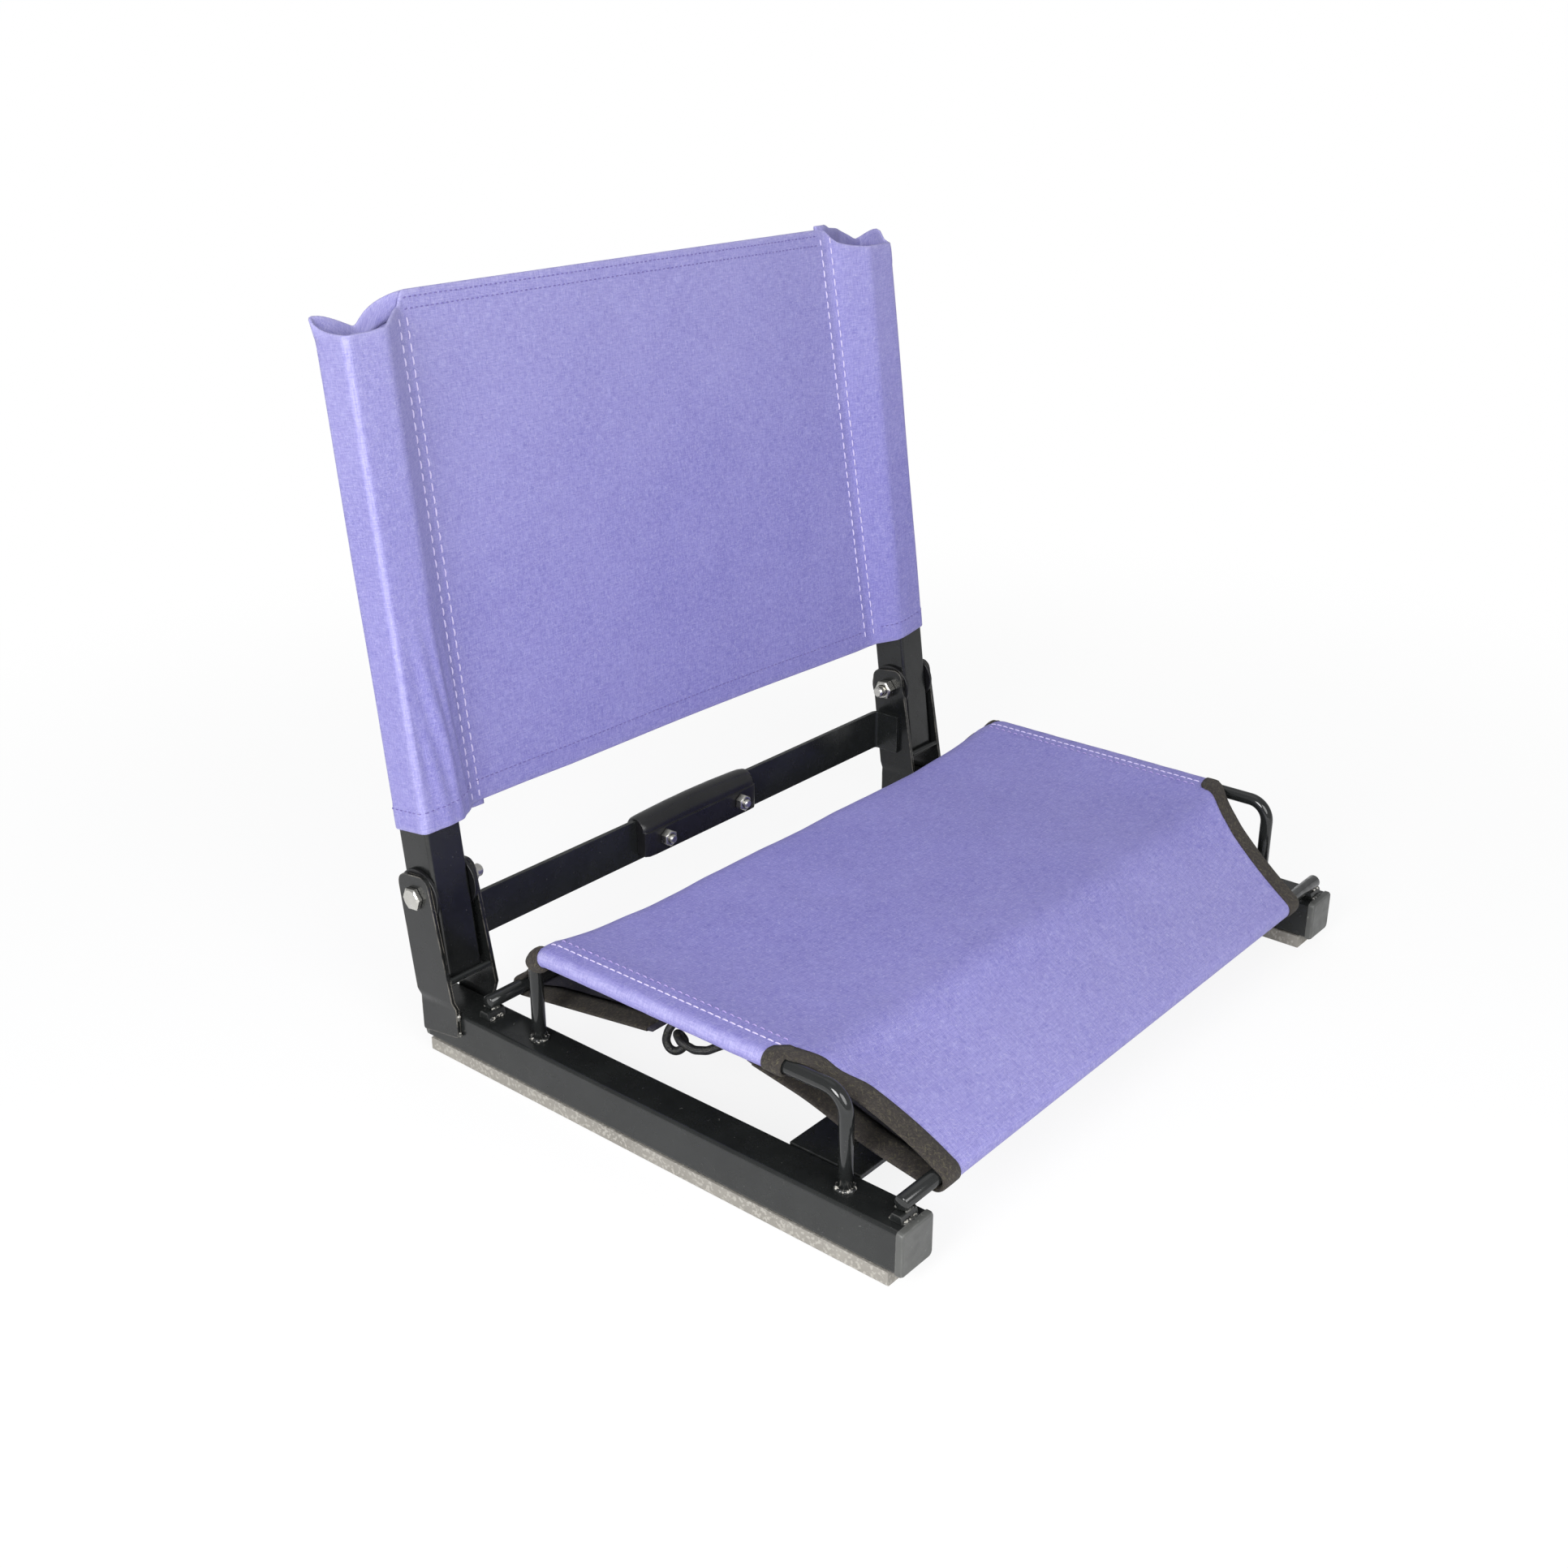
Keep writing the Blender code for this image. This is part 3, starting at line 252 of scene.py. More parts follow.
upper = [*crown[1:rear_arc], Vector((SLEEVE_FRONT, SEAT_TOP)), *crown[rear_arc:-1]]
seat_line = divided([FRONT_FLAP_TIP, *front_wrap, *upper, *rear_wrap, REAR_FLAP_TIP], LONGEST_STEP)
seat_run = lengths_along(seat_line)
print("canvas length over the rods: %.0f mm in %d steps" % (seat_run[-1], len(seat_line) - 1))

# %% [markdown]
# ## Lacing cord
# One black elastic cord pulls the two flaps together under the seat. It crosses above the flaps, dives
# through an eyelet, comes back below and rises through the next one, and its loose end hangs in a small
# loop beside the left rail, where the photograph shows it. A curve with a round bevel would do, but a ring
# carried along the path also keeps each point's place along the cord, which the braid of its sheath needs
# later.

# %% Lacing cord along its route
CORD_DIA, CORD_SIDES, CORD_CLEAR = 4.8, 16, 0.6
CORD_STEP = 0.004
EYELET_INSET = 11.0
EYELETS_X = (-175.0, -87.5, 0.0, 87.5, 175.0)
LOOP_ROUND, ROUND_STEPS = 6, 6
LOOSE_END = (
    (-191, 191.5, 58.5), (-194, 193.6, 53.5), (-195, 195.0, 47.0), (-195, 192.5, 42.6), (-194, 187.8, 41.8),
    (-192, 184.3, 45.0), (-190, 184.6, 48.2), (-191, 187.4, 52.0), (-197, 185.0, 56.4), (-200, 178.6, 54.3),
    (-199, 169.4, 52.6), (-196, 162.9, 53.4), (-190, 157.0, 56.4), (-182, 146.0, 57.5),
)


def flap_spot(tip, roll):
    """An eyelet's middle on a flap, and the flap's direction towards its rod."""
    turn = -1 if tip.x > roll[0].x else 1
    inwards = (on_roll(roll, tangent(tip, roll, turn)) - tip).normalized()
    return tip + inwards * EYELET_INSET, inwards


def above_and_below(tip, roll):
    """The cord's places at a flap: over its eyelet and its end, and under them."""
    eyelet, inwards = flap_spot(tip, roll)
    up = Vector((-inwards.y, inwards.x))
    up *= math.copysign(CANVAS_HALF + CORD_DIA / 2 + CORD_CLEAR, up.y)
    return [eyelet + up, tip + up], [eyelet - up, tip - up]


front_over, front_under = above_and_below(FRONT_FLAP_TIP, FRONT_ROLL)
rear_over, rear_under = above_and_below(REAR_FLAP_TIP, REAR_ROLL)
route = [Vector(spot) for spot in LOOSE_END]
for x in EYELETS_X:
    turns = (front_under[1], front_under[0], *front_over, rear_over[1], rear_over[0], *rear_under)
    route += [Vector((x, spot.x, spot.y)) for spot in turns]
bend = ARC_SHARE * (front_over[0] - front_under[0]).length
laced = len(route) - len(LOOSE_END)
cord_radii = [0] + [LOOP_ROUND] * (len(LOOSE_END) - 2) + [bend] * laced + [0]
cord_path = divided([at(*point) for point in rounded(route, cord_radii, ROUND_STEPS)], CORD_STEP)
verts, faces, flat = [], [], []
sweep(verts, faces, cord_path, [CORD_DIA / 2000] * len(cord_path), CORD_SIDES, flat)
lacing = new_piece("lacing_cord", verts, faces, None, "base", flat)
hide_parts("seat_lacing")

# %% [markdown]
# ## Studio
# The photograph has a plain white ground, so the floor is pale and the world behind it is white. Three
# large soft lamps stand in for a light tent. The ground is white by its own colour, not by more light on
# the chair, and it keeps a little of the chair's shadow.

# %% Floor, sky and lamps
WHITE = (1, 1, 1, 1)
FLOOR_RADIUS, FLOOR_SIDES = 6, 96
LAMPS = (
    ("key_softbox", (-1.6, -0.35, 0.85), (-0.05, 0.1, 0.25), 0.7, 21),
    ("fill_softbox", (-0.6, -1.15, 0.8), (0, 0.05, 0.25), 0.9, 11.7),
    ("top_softbox", (0.2, 0.3, 2.2), (0, 0.05, 0.2), 1.6, 2.5),
)


def add_node(tree, kind, settings=(), **inputs):
    """One shader node: settings are its options, and each input is a value or another node's socket."""
    node = tree.nodes.new(kind)
    for name, value in dict(settings).items():
        setattr(node, name, value)
    for name, value in inputs.items():
        socket = node.inputs[int(name[1:])] if name[0] == "_" else node.inputs[name.replace("_", " ")]
        if isinstance(value, bpy.types.NodeSocket):
            tree.links.new(value, socket)
        else:
            socket.default_value = value
    return node


def calc(tree, operation, first, second=0.0, clamp=False):
    """A Math node, given back as its output socket."""
    settings = {"operation": operation, "use_clamp": clamp}
    return add_node(tree, "ShaderNodeMath", settings, _0=first, _1=second).outputs[0]


def times(tree, first, second):
    return calc(tree, "MULTIPLY", first, second)


def ramp(tree, value, start, end, low=0.0, high=1.0, kind="LINEAR"):
    """A value that runs from start to end, made to run from low to high."""
    limits = {"From_Min": start, "From_Max": end, "To_Min": low, "To_Max": high}
    node = add_node(tree, "ShaderNodeMapRange", {"interpolation_type": kind}, Value=value, **limits)
    return node.outputs["Result"]


def mottle(tree, spot, scale, **inputs):
    """A Noise Texture's value."""
    return add_node(tree, "ShaderNodeTexNoise", Vector=spot, Scale=scale, **inputs).outputs["Fac"]


def two_shaders(tree, share, first, second, kind):
    """The output of a tree: a mix of two shaders."""
    both = add_node(tree, "ShaderNodeMixShader", _0=share, _1=first.outputs[0], _2=second.outputs[0])
    add_node(tree, kind, Surface=both.outputs[0])


sky = bpy.data.worlds.new("light_tent")
bpy.context.scene.world = sky
sky.use_nodes = True
tree = sky.node_tree
tree.nodes.clear()
ray = add_node(tree, "ShaderNodeLightPath").outputs
seen = calc(tree, "MAXIMUM", ray["Is Camera Ray"], ray["Is Transmission Ray"])
white = add_node(tree, "ShaderNodeBackground", Color=WHITE, Strength=1.0)
soft = add_node(tree, "ShaderNodeBackground", Color=(0.98, 0.99, 1, 1), Strength=0.45)
two_shaders(tree, seen, soft, white, "ShaderNodeOutputWorld")

floor_mesh = bpy.data.meshes.new("studio_floor")
shape = bmesh.new()
bmesh.ops.create_circle(shape, cap_ends=True, segments=FLOOR_SIDES, radius=FLOOR_RADIUS)
shape.to_mesh(floor_mesh)
shape.free()
add_object("studio_floor", floor_mesh)

paper = bpy.data.materials.new("studio_paper")
paper.use_nodes = True
tree = paper.node_tree
tree.nodes.clear()
ray = add_node(tree, "ShaderNodeLightPath").outputs
ground = add_node(tree, "ShaderNodeTexCoord").outputs["Object"]
away = add_node(tree, "ShaderNodeVectorMath", {"operation": "LENGTH"}, _0=ground).outputs["Value"]
fade = ramp(tree, away, 0.35, 1.1, kind="SMOOTHSTEP")
fibre = mottle(tree, ground, 900.0, Detail=3.0)
matt = add_node(tree, "ShaderNodeBsdfDiffuse", Color=ramp(tree, fibre, 0, 1, 0.93, 0.97))
glow = add_node(tree, "ShaderNodeEmission", Color=WHITE, Strength=1.0)
veil = times(tree, ramp(tree, fade, 0, 1, 0.87, 1.0), ray["Is Camera Ray"])
two_shaders(tree, veil, matt, glow, "ShaderNodeOutputMaterial")
floor_mesh.materials.append(paper)

for name, place, aim, size, watts in LAMPS:
    lamp = bpy.data.lights.new(name, "AREA")
    lamp.shape = "DISK"
    lamp.size = size
    lamp.energy = watts
    holder = add_object(name, lamp)
    holder.location = place
    holder.rotation_euler = (Vector(aim) - Vector(place)).to_track_quat("-Z", "Y").to_euler()
bpy.context.scene.view_settings.view_transform = "Standard"
print("studio: pale floor, white sky, %d soft lamps" % len(LAMPS))

# %% [markdown]
# ## Shared effects
# Paint, plastic, rubber and cloth share a few effects: clouds of slightly different colour, a fine grain,
# pale edges and woven threads. The pale edges are wear, and on the posts and plates they are also a painted
# edge highlight. Each effect is a node group, built once and placed in every material with its own values,
# as a painter uses the same sponge with different paints.

# %% Node groups: clouds, grain and pale edges
def new_group(name, numbers, outputs):
    """An empty node group that takes a Vector and numbers; returns its tree, its inputs and its outputs."""
    group = bpy.data.node_groups.new(name, "ShaderNodeTree")
    sockets = group.interface
    sockets.new_socket("Vector", in_out="INPUT", socket_type="NodeSocketVector")
    for label, value in numbers.items():
        sockets.new_socket(label, in_out="INPUT", socket_type="NodeSocketFloat").default_value = value
    for label in outputs:
        sockets.new_socket(label, in_out="OUTPUT", socket_type="NodeSocketFloat")
    return group, group.nodes.new("NodeGroupInput").outputs, group.nodes.new("NodeGroupOutput").inputs


def use_group(tree, group, **inputs):
    return add_node(tree, "ShaderNodeGroup", {"node_tree": group}, **inputs).outputs


clouds, into, out = new_group(
    "clouds_and_specks", {"Cloud Scale": 20.0, "Speck Scale": 600.0, "Speck Share": 0.3}, ("Cloud", "Speck"),
)
cloud = mottle(clouds, into["Vector"], into["Cloud Scale"], Detail=4.0, Roughness=0.6)
speck = mottle(clouds, into["Vector"], into["Speck Scale"], Detail=2.0)
rarest = calc(clouds, "SUBTRACT", 0.78, times(clouds, into["Speck Share"], 0.4))
clouds.links.new(cloud, out["Cloud"])
clouds.links.new(ramp(clouds, speck, rarest, calc(clouds, "ADD", rarest, 0.06)), out["Speck"])

grain, into, out = new_group("fine_grain", {"Scale": 900.0, "Coarse Share": 0.4}, ("Height", "Variation"))
fine = mottle(grain, into["Vector"], into["Scale"], Detail=3.0, Roughness=0.55)
coarse = mottle(grain, into["Vector"], times(grain, into["Scale"], 0.12), Detail=2.0)
height = add_node(grain, "ShaderNodeMix", _0=into["Coarse Share"], _2=fine, _3=coarse)
grain.links.new(height.outputs[0], out["Height"])
grain.links.new(coarse, out["Variation"])

# pale edge mask: wear, and on the posts and plates also a painted edge highlight
edge_wear_and_light, into, out = new_group("worn_and_lit_edges", {"Radius": 0.0012, "Patch Scale": 90.0, "Amount": 1.0}, ("Mask",))
softened = add_node(edge_wear_and_light, "ShaderNodeBevel", {"samples": 4}, Radius=into["Radius"]).outputs["Normal"]
straight = add_node(edge_wear_and_light, "ShaderNodeNewGeometry").outputs["Normal"]
turned = add_node(edge_wear_and_light, "ShaderNodeVectorMath", {"operation": "DOT_PRODUCT"}, _0=softened, _1=straight)
edge = ramp(edge_wear_and_light, turned.outputs["Value"], 0.995, 0.86)
patch = mottle(edge_wear_and_light, into["Vector"], into["Patch Scale"], Detail=5.0, Roughness=0.7)
mask = times(edge_wear_and_light, edge, ramp(edge_wear_and_light, patch, 0.42, 0.66))
edge_wear_and_light.links.new(calc(edge_wear_and_light, "MULTIPLY", mask, into["Amount"], True), out["Mask"])
print("groups:", [group.name for group in bpy.data.node_groups])

# %% [markdown]
# ## Woven threads
# Canvas is a plain weave: each thread goes over one neighbour and under the next, and hand-thick places in
# the yarn show as short streaks in both directions. The threads could be modelled one by one, but there are
# hundreds of them, so a group draws them from the cloth's own flat map, which is in metres. Pale flecks of
# lint lie across the threads at a slant.

# %% Node group: woven threads
FLECKS_ACROSS, FLECKS_ALONG = 620.0, 190.0
weave, into, out = new_group(
    "woven_threads", {"Threads per Metre": 1500.0, "Slub Length": 9.0}, ("Height", "Tone", "Fleck"),
)
place = add_node(weave, "ShaderNodeSeparateXYZ", Vector=into["Vector"]).outputs
count = {axis: times(weave, place[axis], into["Threads per Metre"]) for axis in "XY"}
ribs = [calc(weave, "ABSOLUTE", calc(weave, "SINE", times(weave, count[axis], math.pi))) for axis in "XY"]
streaks = []
for thick, lengthwise in ("XY", "YX"):
    slub = calc(weave, "DIVIDE", count[lengthwise], into["Slub Length"])
    yarn = add_node(weave, "ShaderNodeCombineXYZ", X=count[thick], Y=slub).outputs[0]
    streaks.append(mottle(weave, yarn, 0.9, Detail=1.0))
tone = times(weave, calc(weave, "ADD", streaks[0], streaks[1]), 0.5)
bumps = times(weave, times(weave, ribs[0], ribs[1]), 0.6)
weave.links.new(calc(weave, "ADD", bumps, times(weave, tone, 0.7)), out["Height"])
weave.links.new(tone, out["Tone"])
flecks = []
for slant in (1.0, -1.0):
    skew = calc(weave, "ADD", place["X"], times(weave, place["Y"], slant))
    other = calc(weave, "SUBTRACT", place["Y"], times(weave, place["X"], slant))
    across, lengthwise = times(weave, skew, FLECKS_ACROSS), times(weave, other, FLECKS_ALONG)
    lint = add_node(weave, "ShaderNodeCombineXYZ", X=across, Y=lengthwise, Z=slant).outputs[0]
    flecks.append(ramp(weave, mottle(weave, lint, 1.0, Detail=2.0, Roughness=0.6), 0.56, 0.74))
weave.links.new(calc(weave, "MAXIMUM", flecks[0], flecks[1]), out["Fleck"])
print("weave group:", len(weave.nodes), "nodes")

# %% [markdown]
# ## Finishes of the frame
# The frame has a near-black coating with a little orange peel. The round bars shine more than the tubes.
# The posts and plates are painted a little darker, as painted shade, and pale on their edges, partly from
# wear and partly as a painted edge highlight. The welds carry pale specks as painted glints. The caps are
# greyer moulded plastic, the strips are dusty grey rubber, the grip is black nylon, and the bolts are
# bright zinc. One function lays clouds, specks and pale edges over a base colour, so each finish is a short
# recipe: its dark, light and edge colours, the range of its roughness, then the size of its grain, its
# bump, its pale edges and its specks.

# %% Painted, moulded and plated finishes
BUMP_DEPTH = 0.0004
DUST = (0.4, 0.4, 0.38)
COAT_WORN = (0.12, 0.122, 0.116)


def new_material(name):
    made = bpy.data.materials.new(name)
    made.use_nodes = True
    return made, made.node_tree, made.node_tree.nodes["Principled BSDF"]


def mix_colour(tree, share, first, second):
    """A colour between two others; each is three numbers or a socket."""
    pair = [tone if isinstance(tone, bpy.types.NodeSocket) else (*tone, 1) for tone in (first, second)]
    return add_node(tree, "ShaderNodeMix", {"data_type": "RGBA"}, _0=share, _6=pair[0], _7=pair[1]).outputs[2]


def spread(tree, value, low=0, high=1):
    """The middle of a noise, stretched from low to high."""
    return ramp(tree, value, 0.3, 0.7, low, high)


def surface(tree, shader, colour, rough, bump, depth, height):
    """Join a colour, a roughness and a bump to the shader."""
    tree.links.new(colour, shader.inputs["Base Color"])
    tree.links.new(rough, shader.inputs["Roughness"])
    lift = add_node(tree, "ShaderNodeBump", Strength=bump, Distance=depth, Height=height)
    tree.links.new(lift.outputs[0], shader.inputs["Normal"])


def rigid_finish(
    name, dark, light, wear_and_light, rough, grain_size, bump, pale_edge_amount, specks, dust_and_glint=DUST, specular=0.5, metal=0.0,
):
    """A coating, plastic, rubber or metal: two colours in clouds, specks (dust, and painted glints on the
    welds), pale edges and a fine grain.
    """
    made, tree, shader = new_material(name)
    spot = add_node(tree, "ShaderNodeTexCoord").outputs["Object"]
    cloud = use_group(tree, clouds, Vector=spot, Cloud_Scale=35.0, Speck_Scale=480.0, Speck_Share=specks)
    wear_and_light_mask = use_group(tree, edge_wear_and_light, Vector=spot, Amount=pale_edge_amount)
    fine = use_group(tree, grain, Vector=spot, Scale=grain_size)
    colour = mix_colour(tree, spread(tree, cloud["Cloud"]), dark, light)
    colour = mix_colour(tree, times(tree, cloud["Speck"], specks), colour, dust_and_glint)
    colour = mix_colour(tree, wear_and_light_mask["Mask"], colour, wear_and_light)
    surface(tree, shader, colour, spread(tree, fine["Variation"], *rough), bump, BUMP_DEPTH, fine["Height"])
    shader.inputs["Specular IOR Level"].default_value = specular
    shader.inputs["Metallic"].default_value = metal
    return made


coating = rigid_finish(
    "black_coating", (0.0095, 0.0104, 0.0104), (0.0165, 0.018, 0.0176), COAT_WORN,
    (0.18, 0.3), 1100.0, 0.1, 0.6, 0.14, specular=0.45,
)
bar_coat = rigid_finish(
    "glossy_coating", (0.01, 0.011, 0.011), (0.018, 0.019, 0.019), COAT_WORN,
    (0.07, 0.15), 1100.0, 0.06, 0.6, 0.14,
)
# posts and plates: a darker base as painted shade, and pale edges that are partly wear and partly a painted
# edge highlight
shade_and_edge_light_coat = rigid_finish(
    "coating_painted_shade_edge_light", (0.006, 0.0066, 0.0068), (0.011, 0.0118, 0.0118), (0.3, 0.275, 0.235),
    (0.18, 0.3), 1100.0, 0.1, 1.0, 0.14,
)
# welds: the pale specks are painted glints
weld_coat_painted_glints = rigid_finish(
    "weld_coating_painted_glints", (0.014, 0.015, 0.015), (0.03, 0.031, 0.03), (0.3, 0.29, 0.26),
    (0.06, 0.16), 900.0, 0.25, 0.8, 0.56, (0.8, 0.77, 0.7),
)
plastic = rigid_finish(
    "cap_plastic", (0.056, 0.058, 0.055), (0.095, 0.097, 0.092), (0.25, 0.25, 0.24),
    (0.34, 0.5), 1600.0, 0.22, 0.8, 0.25,
)
rubber = rigid_finish(
    "grip_rubber", (0.235, 0.222, 0.2), (0.3, 0.285, 0.258), (0.34, 0.325, 0.295),
    (0.72, 0.95), 700.0, 0.5, 0.8, 0.6, (0.46, 0.44, 0.4), specular=0.25,
)
zinc = rigid_finish(
    "bright_zinc", (0.48, 0.47, 0.43), (0.7, 0.69, 0.65), (0.82, 0.81, 0.78),
    (0.2, 0.38), 2200.0, 0.15, 0.6, 0.1, (0.3, 0.28, 0.24), metal=1.0,
)
nylon = rigid_finish(
    "grip_nylon", (0.005, 0.005, 0.006), (0.01, 0.01, 0.011), (0.06, 0.06, 0.06),
    (0.24, 0.36), 1300.0, 0.25, 0.5, 0.1,
)
print("finishes:", [made.name for made in bpy.data.materials])

# %% [markdown]
# ## Cloth finishes
# The canvas is periwinkle purple with a dull sheen. The seat's underside and its flaps are painted near
# black, as painted shade beneath the seat. That dark cloth, the binding tape, the sewing thread and the
# cord's sheath are cloth too, so one function makes them all from the weave group. Each recipe gives its
# dark and light colours and its thread count, then bump, roughness, sheen and the sheen's tint. Where a
# piece carries a paling value, its threads are paler there: wear in places, painted light and painted
# highlights in others. The sheen is set on the shader itself.

# %% Canvas, tape, thread and cord sheath
WEAVE_DEPTH = 0.0005


def cloth_finish(name, dark, light, threads, bump, rough, sheen, tint, slub=9.0, cloud_scale=14.0):
    made, tree, shader = new_material(name)
    flat = add_node(tree, "ShaderNodeUVMap", {"uv_map": "cloth"}).outputs["UV"]
    woven = use_group(tree, weave, Vector=flat, Threads_per_Metre=threads, Slub_Length=slub)
    cloud = use_group(tree, clouds, Vector=flat, Cloud_Scale=cloud_scale, Speck_Scale=900.0, Speck_Share=0.35)
    yarn = times(tree, spread(tree, woven["Tone"]), 0.8)
    tone = calc(tree, "ADD", yarn, times(tree, spread(tree, cloud["Cloud"]), 0.2))
    colour = mix_colour(tree, tone, dark, light)
    drift = use_group(tree, clouds, Vector=flat, Cloud_Scale=70.0)
    warm = (dark[0] * 1.12, dark[1] * 0.94, dark[2] * 0.98)
    colour = mix_colour(tree, times(tree, spread(tree, drift["Cloud"]), 0.22), colour, warm)
    paler = [0.5 * value + 0.5 * value ** 0.5 for value in light[:2]]
    pale = (*paler, min(1, 0.8 * light[2] + 0.2 * light[2] ** 0.5))
    lint = calc(tree, "MAXIMUM", cloud["Speck"], woven["Fleck"])
    colour = mix_colour(tree, times(tree, lint, 0.5), colour, pale)
    # paling per vertex: wear, painted light and painted highlights make the threads paler
    wear_and_light_mask = add_node(tree, "ShaderNodeAttribute", {"attribute_name": "wear_and_painted_light"}).outputs["Fac"]
    colour = mix_colour(tree, times(tree, wear_and_light_mask, spread(tree, woven["Tone"], 0.25, 0.6)), colour, pale)
    dull = spread(tree, woven["Tone"], rough, rough + 0.12)
    surface(tree, shader, colour, dull, bump, WEAVE_DEPTH, woven["Height"])
    shader.inputs["Specular IOR Level"].default_value = 0.4
    shader.inputs["Sheen Weight"].default_value = sheen
    shader.inputs["Sheen Roughness"].default_value = 0.45
    shader.inputs["Sheen Tint"].default_value = (*tint, 1)
    return made


canvas = cloth_finish(
    "purple_canvas", (0.138, 0.13, 0.42), (0.325, 0.307, 0.62), 1500.0, 0.4, 0.6, 0.1, (0.75, 0.74, 1),
)
shade_cloth = cloth_finish(
    "painted_shade_underside", (0.02, 0.019, 0.03), (0.04, 0.037, 0.055), 1500.0, 0.3, 0.8, 0.05, (0.6, 0.6, 0.8),
)
tape = cloth_finish(
    "binding_tape", (0.0115, 0.0098, 0.009), (0.062, 0.0525, 0.0475), 1900.0, 0.5, 0.85, 0.06,
    (0.8, 0.75, 0.7), 5.0, 60.0,
)
pale_thread = cloth_finish(
    "pale_thread", (0.56, 0.5, 0.8), (0.8, 0.75, 0.95), 4000.0, 0.4, 0.5, 0.2, (0.9, 0.88, 1),
)
dark_thread = cloth_finish(
    "purple_thread", (0.12, 0.1, 0.32), (0.2, 0.17, 0.46), 4000.0, 0.4, 0.55, 0.15, (0.8, 0.75, 1),
)
dim_thread = cloth_finish(
    "rose_thread", (0.34, 0.27, 0.6), (0.48, 0.4, 0.74), 4000.0, 0.4, 0.5, 0.2, (0.9, 0.88, 1),
)
elastic = cloth_finish(
    "braided_elastic", (0.006, 0.006, 0.007), (0.03, 0.03, 0.034), 1300.0, 0.45, 0.26, 0.0,
    (1, 1, 1), 3.0, 90.0,
)
lacing.data.materials.append(elastic)
print("cloths ready")

# %% [markdown]
# ## Rigid parts kept from the CAD
# The tubes, plates, caps, strips and the carry bar already have the right shape, so they stay and get
# finishes. Sharp CAD edges catch no light. A Bevel modifier rounds them a little, after a Weld that joins
# the loose corners of the loaded mesh, and weighted normals keep the flat faces flat.

# %% Finishes and rounded edges on the kept parts
JOIN_WITHIN = 0.00002
EDGE_ANGLE = math.radians(34)
KEPT_PAIRS = (
    (coating, 0.3, "rail_{}"),
    (shade_and_edge_light_coat, 0.8, "post_{}"),
    (plastic, 0.9, "front_cap_{} rear_cap_{} post_cap_{} post_foot_{}"),
    (rubber, 0.5, "grip_strip_{}"),
    (shade_and_edge_light_coat, 0.7, "bracket_plate_{}_outer bracket_plate_{}_inner"),
    (nylon, 0.4, "spacer_disc_{}_outer spacer_disc_{}_inner"),
    (coating, 0.4, "stop_pin_{} front_rod_saddle_{} rear_rod_saddle_{} plate_tab_{}"),
    (zinc, 0.25, "pivot_bolt_{} pivot_nut_{} plate_bolt_{} plate_nut_{} grip_bolt_{} grip_nut_{}"),
)


def dress(name, material, edge_mm):
    """Give a CAD node its finish and a small round on its edges."""
    part = nodes[name]
    part.data.materials.clear()
    part.data.materials.append(material)
    part.modifiers.new("join", "WELD").merge_threshold = JOIN_WITHIN
    edge = part.modifiers.new("round_edges", "BEVEL")
    edge.width = edge_mm / 1000
    edge.segments = 2
    edge.limit_method = "ANGLE"
    edge.angle_limit = EDGE_ANGLE
    edge.use_clamp_overlap = True
    part.modifiers.new("even_light", "WEIGHTED_NORMAL")
    for face in part.data.polygons:
        face.use_smooth = True


for material, edge_mm, stems in KEPT_PAIRS:
    for stem in stems.split():
        for side, sign in SIDES:
            dress(stem.format(side), material, edge_mm)
dress("front_cross_plate", coating, 0.5)
dress("carry_bar", coating, 0.4)
dress("carry_grip", nylon, 0.8)
print("dressed", sum(1 for part in nodes.values() if part.modifiers), "CAD nodes")

# %% [markdown]
# ## Rods
# The seat's side rods are bent from round bar, and two straight cross rods carry the canvas in front and
# behind. The CAD rods have few sides, which shows on a glossy bar, so finer ones take their place on the
# same paths. The same ring of points is carried along each path without twisting, and its ends are
# chamfered.

# %% Fine round bars
FRONT_LEG_Y, REAR_LEG_Y = 45.0, 266.0
FRONT_ROD_Y, REAR_ROD_Y = 9.0, 306.0
SIDE_ROD_Z, CROSS_ROD_Z = 89.7, 43.6
SIDE_ROD_DIA, CROSS_ROD_DIA = 8.0, 8.6
ROD_BEND, BEND_STEPS, BAR_SIDES = 13, 14, 28
CROSS_ROD_END, LEG_GAP = 227.5, 0.3


def bar(name, path, diameter, node, chamfer):
    """A round bar in millimetres that takes the place of a CAD rod."""
    head = path[0] + (path[1] - path[0]).normalized() * chamfer
    tail = path[-1] + (path[-2] - path[-1]).normalized() * chamfer
    line = [path[0], head, *path[1:-1], tail, path[-1]]
    radii = [diameter / 2 - chamfer] + [diameter / 2] * (len(line) - 2) + [diameter / 2 - chamfer]
    verts, faces = [], []
    sweep(verts, faces, [at(*point) for point in line], [radius / 1000 for radius in radii], BAR_SIDES)
    piece = new_piece(name, verts, faces, bar_coat)
    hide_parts(node)


for side, sign in SIDES:
    foot, x = RAIL_TOP + LEG_GAP, sign * RAIL_X
    turns = (FRONT_LEG_Y, foot), (FRONT_LEG_Y, SIDE_ROD_Z), (REAR_LEG_Y, SIDE_ROD_Z), (REAR_LEG_Y, foot)
    path = rounded([Vector((x, y, z)) for y, z in turns], [0, ROD_BEND, ROD_BEND, 0], BEND_STEPS)
    bar("side_bar_" + side, path, SIDE_ROD_DIA, "seat_side_rod_" + side, 0.3)
for name, y in (("front", FRONT_ROD_Y), ("rear", REAR_ROD_Y)):
    path = [Vector((x, y, CROSS_ROD_Z)) for x in (-CROSS_ROD_END, -100, CROSS_ROD_END)]
    bar(name + "_cross_bar", path, CROSS_ROD_DIA, name + "_rod", 0.8)
print("4 fine bars")

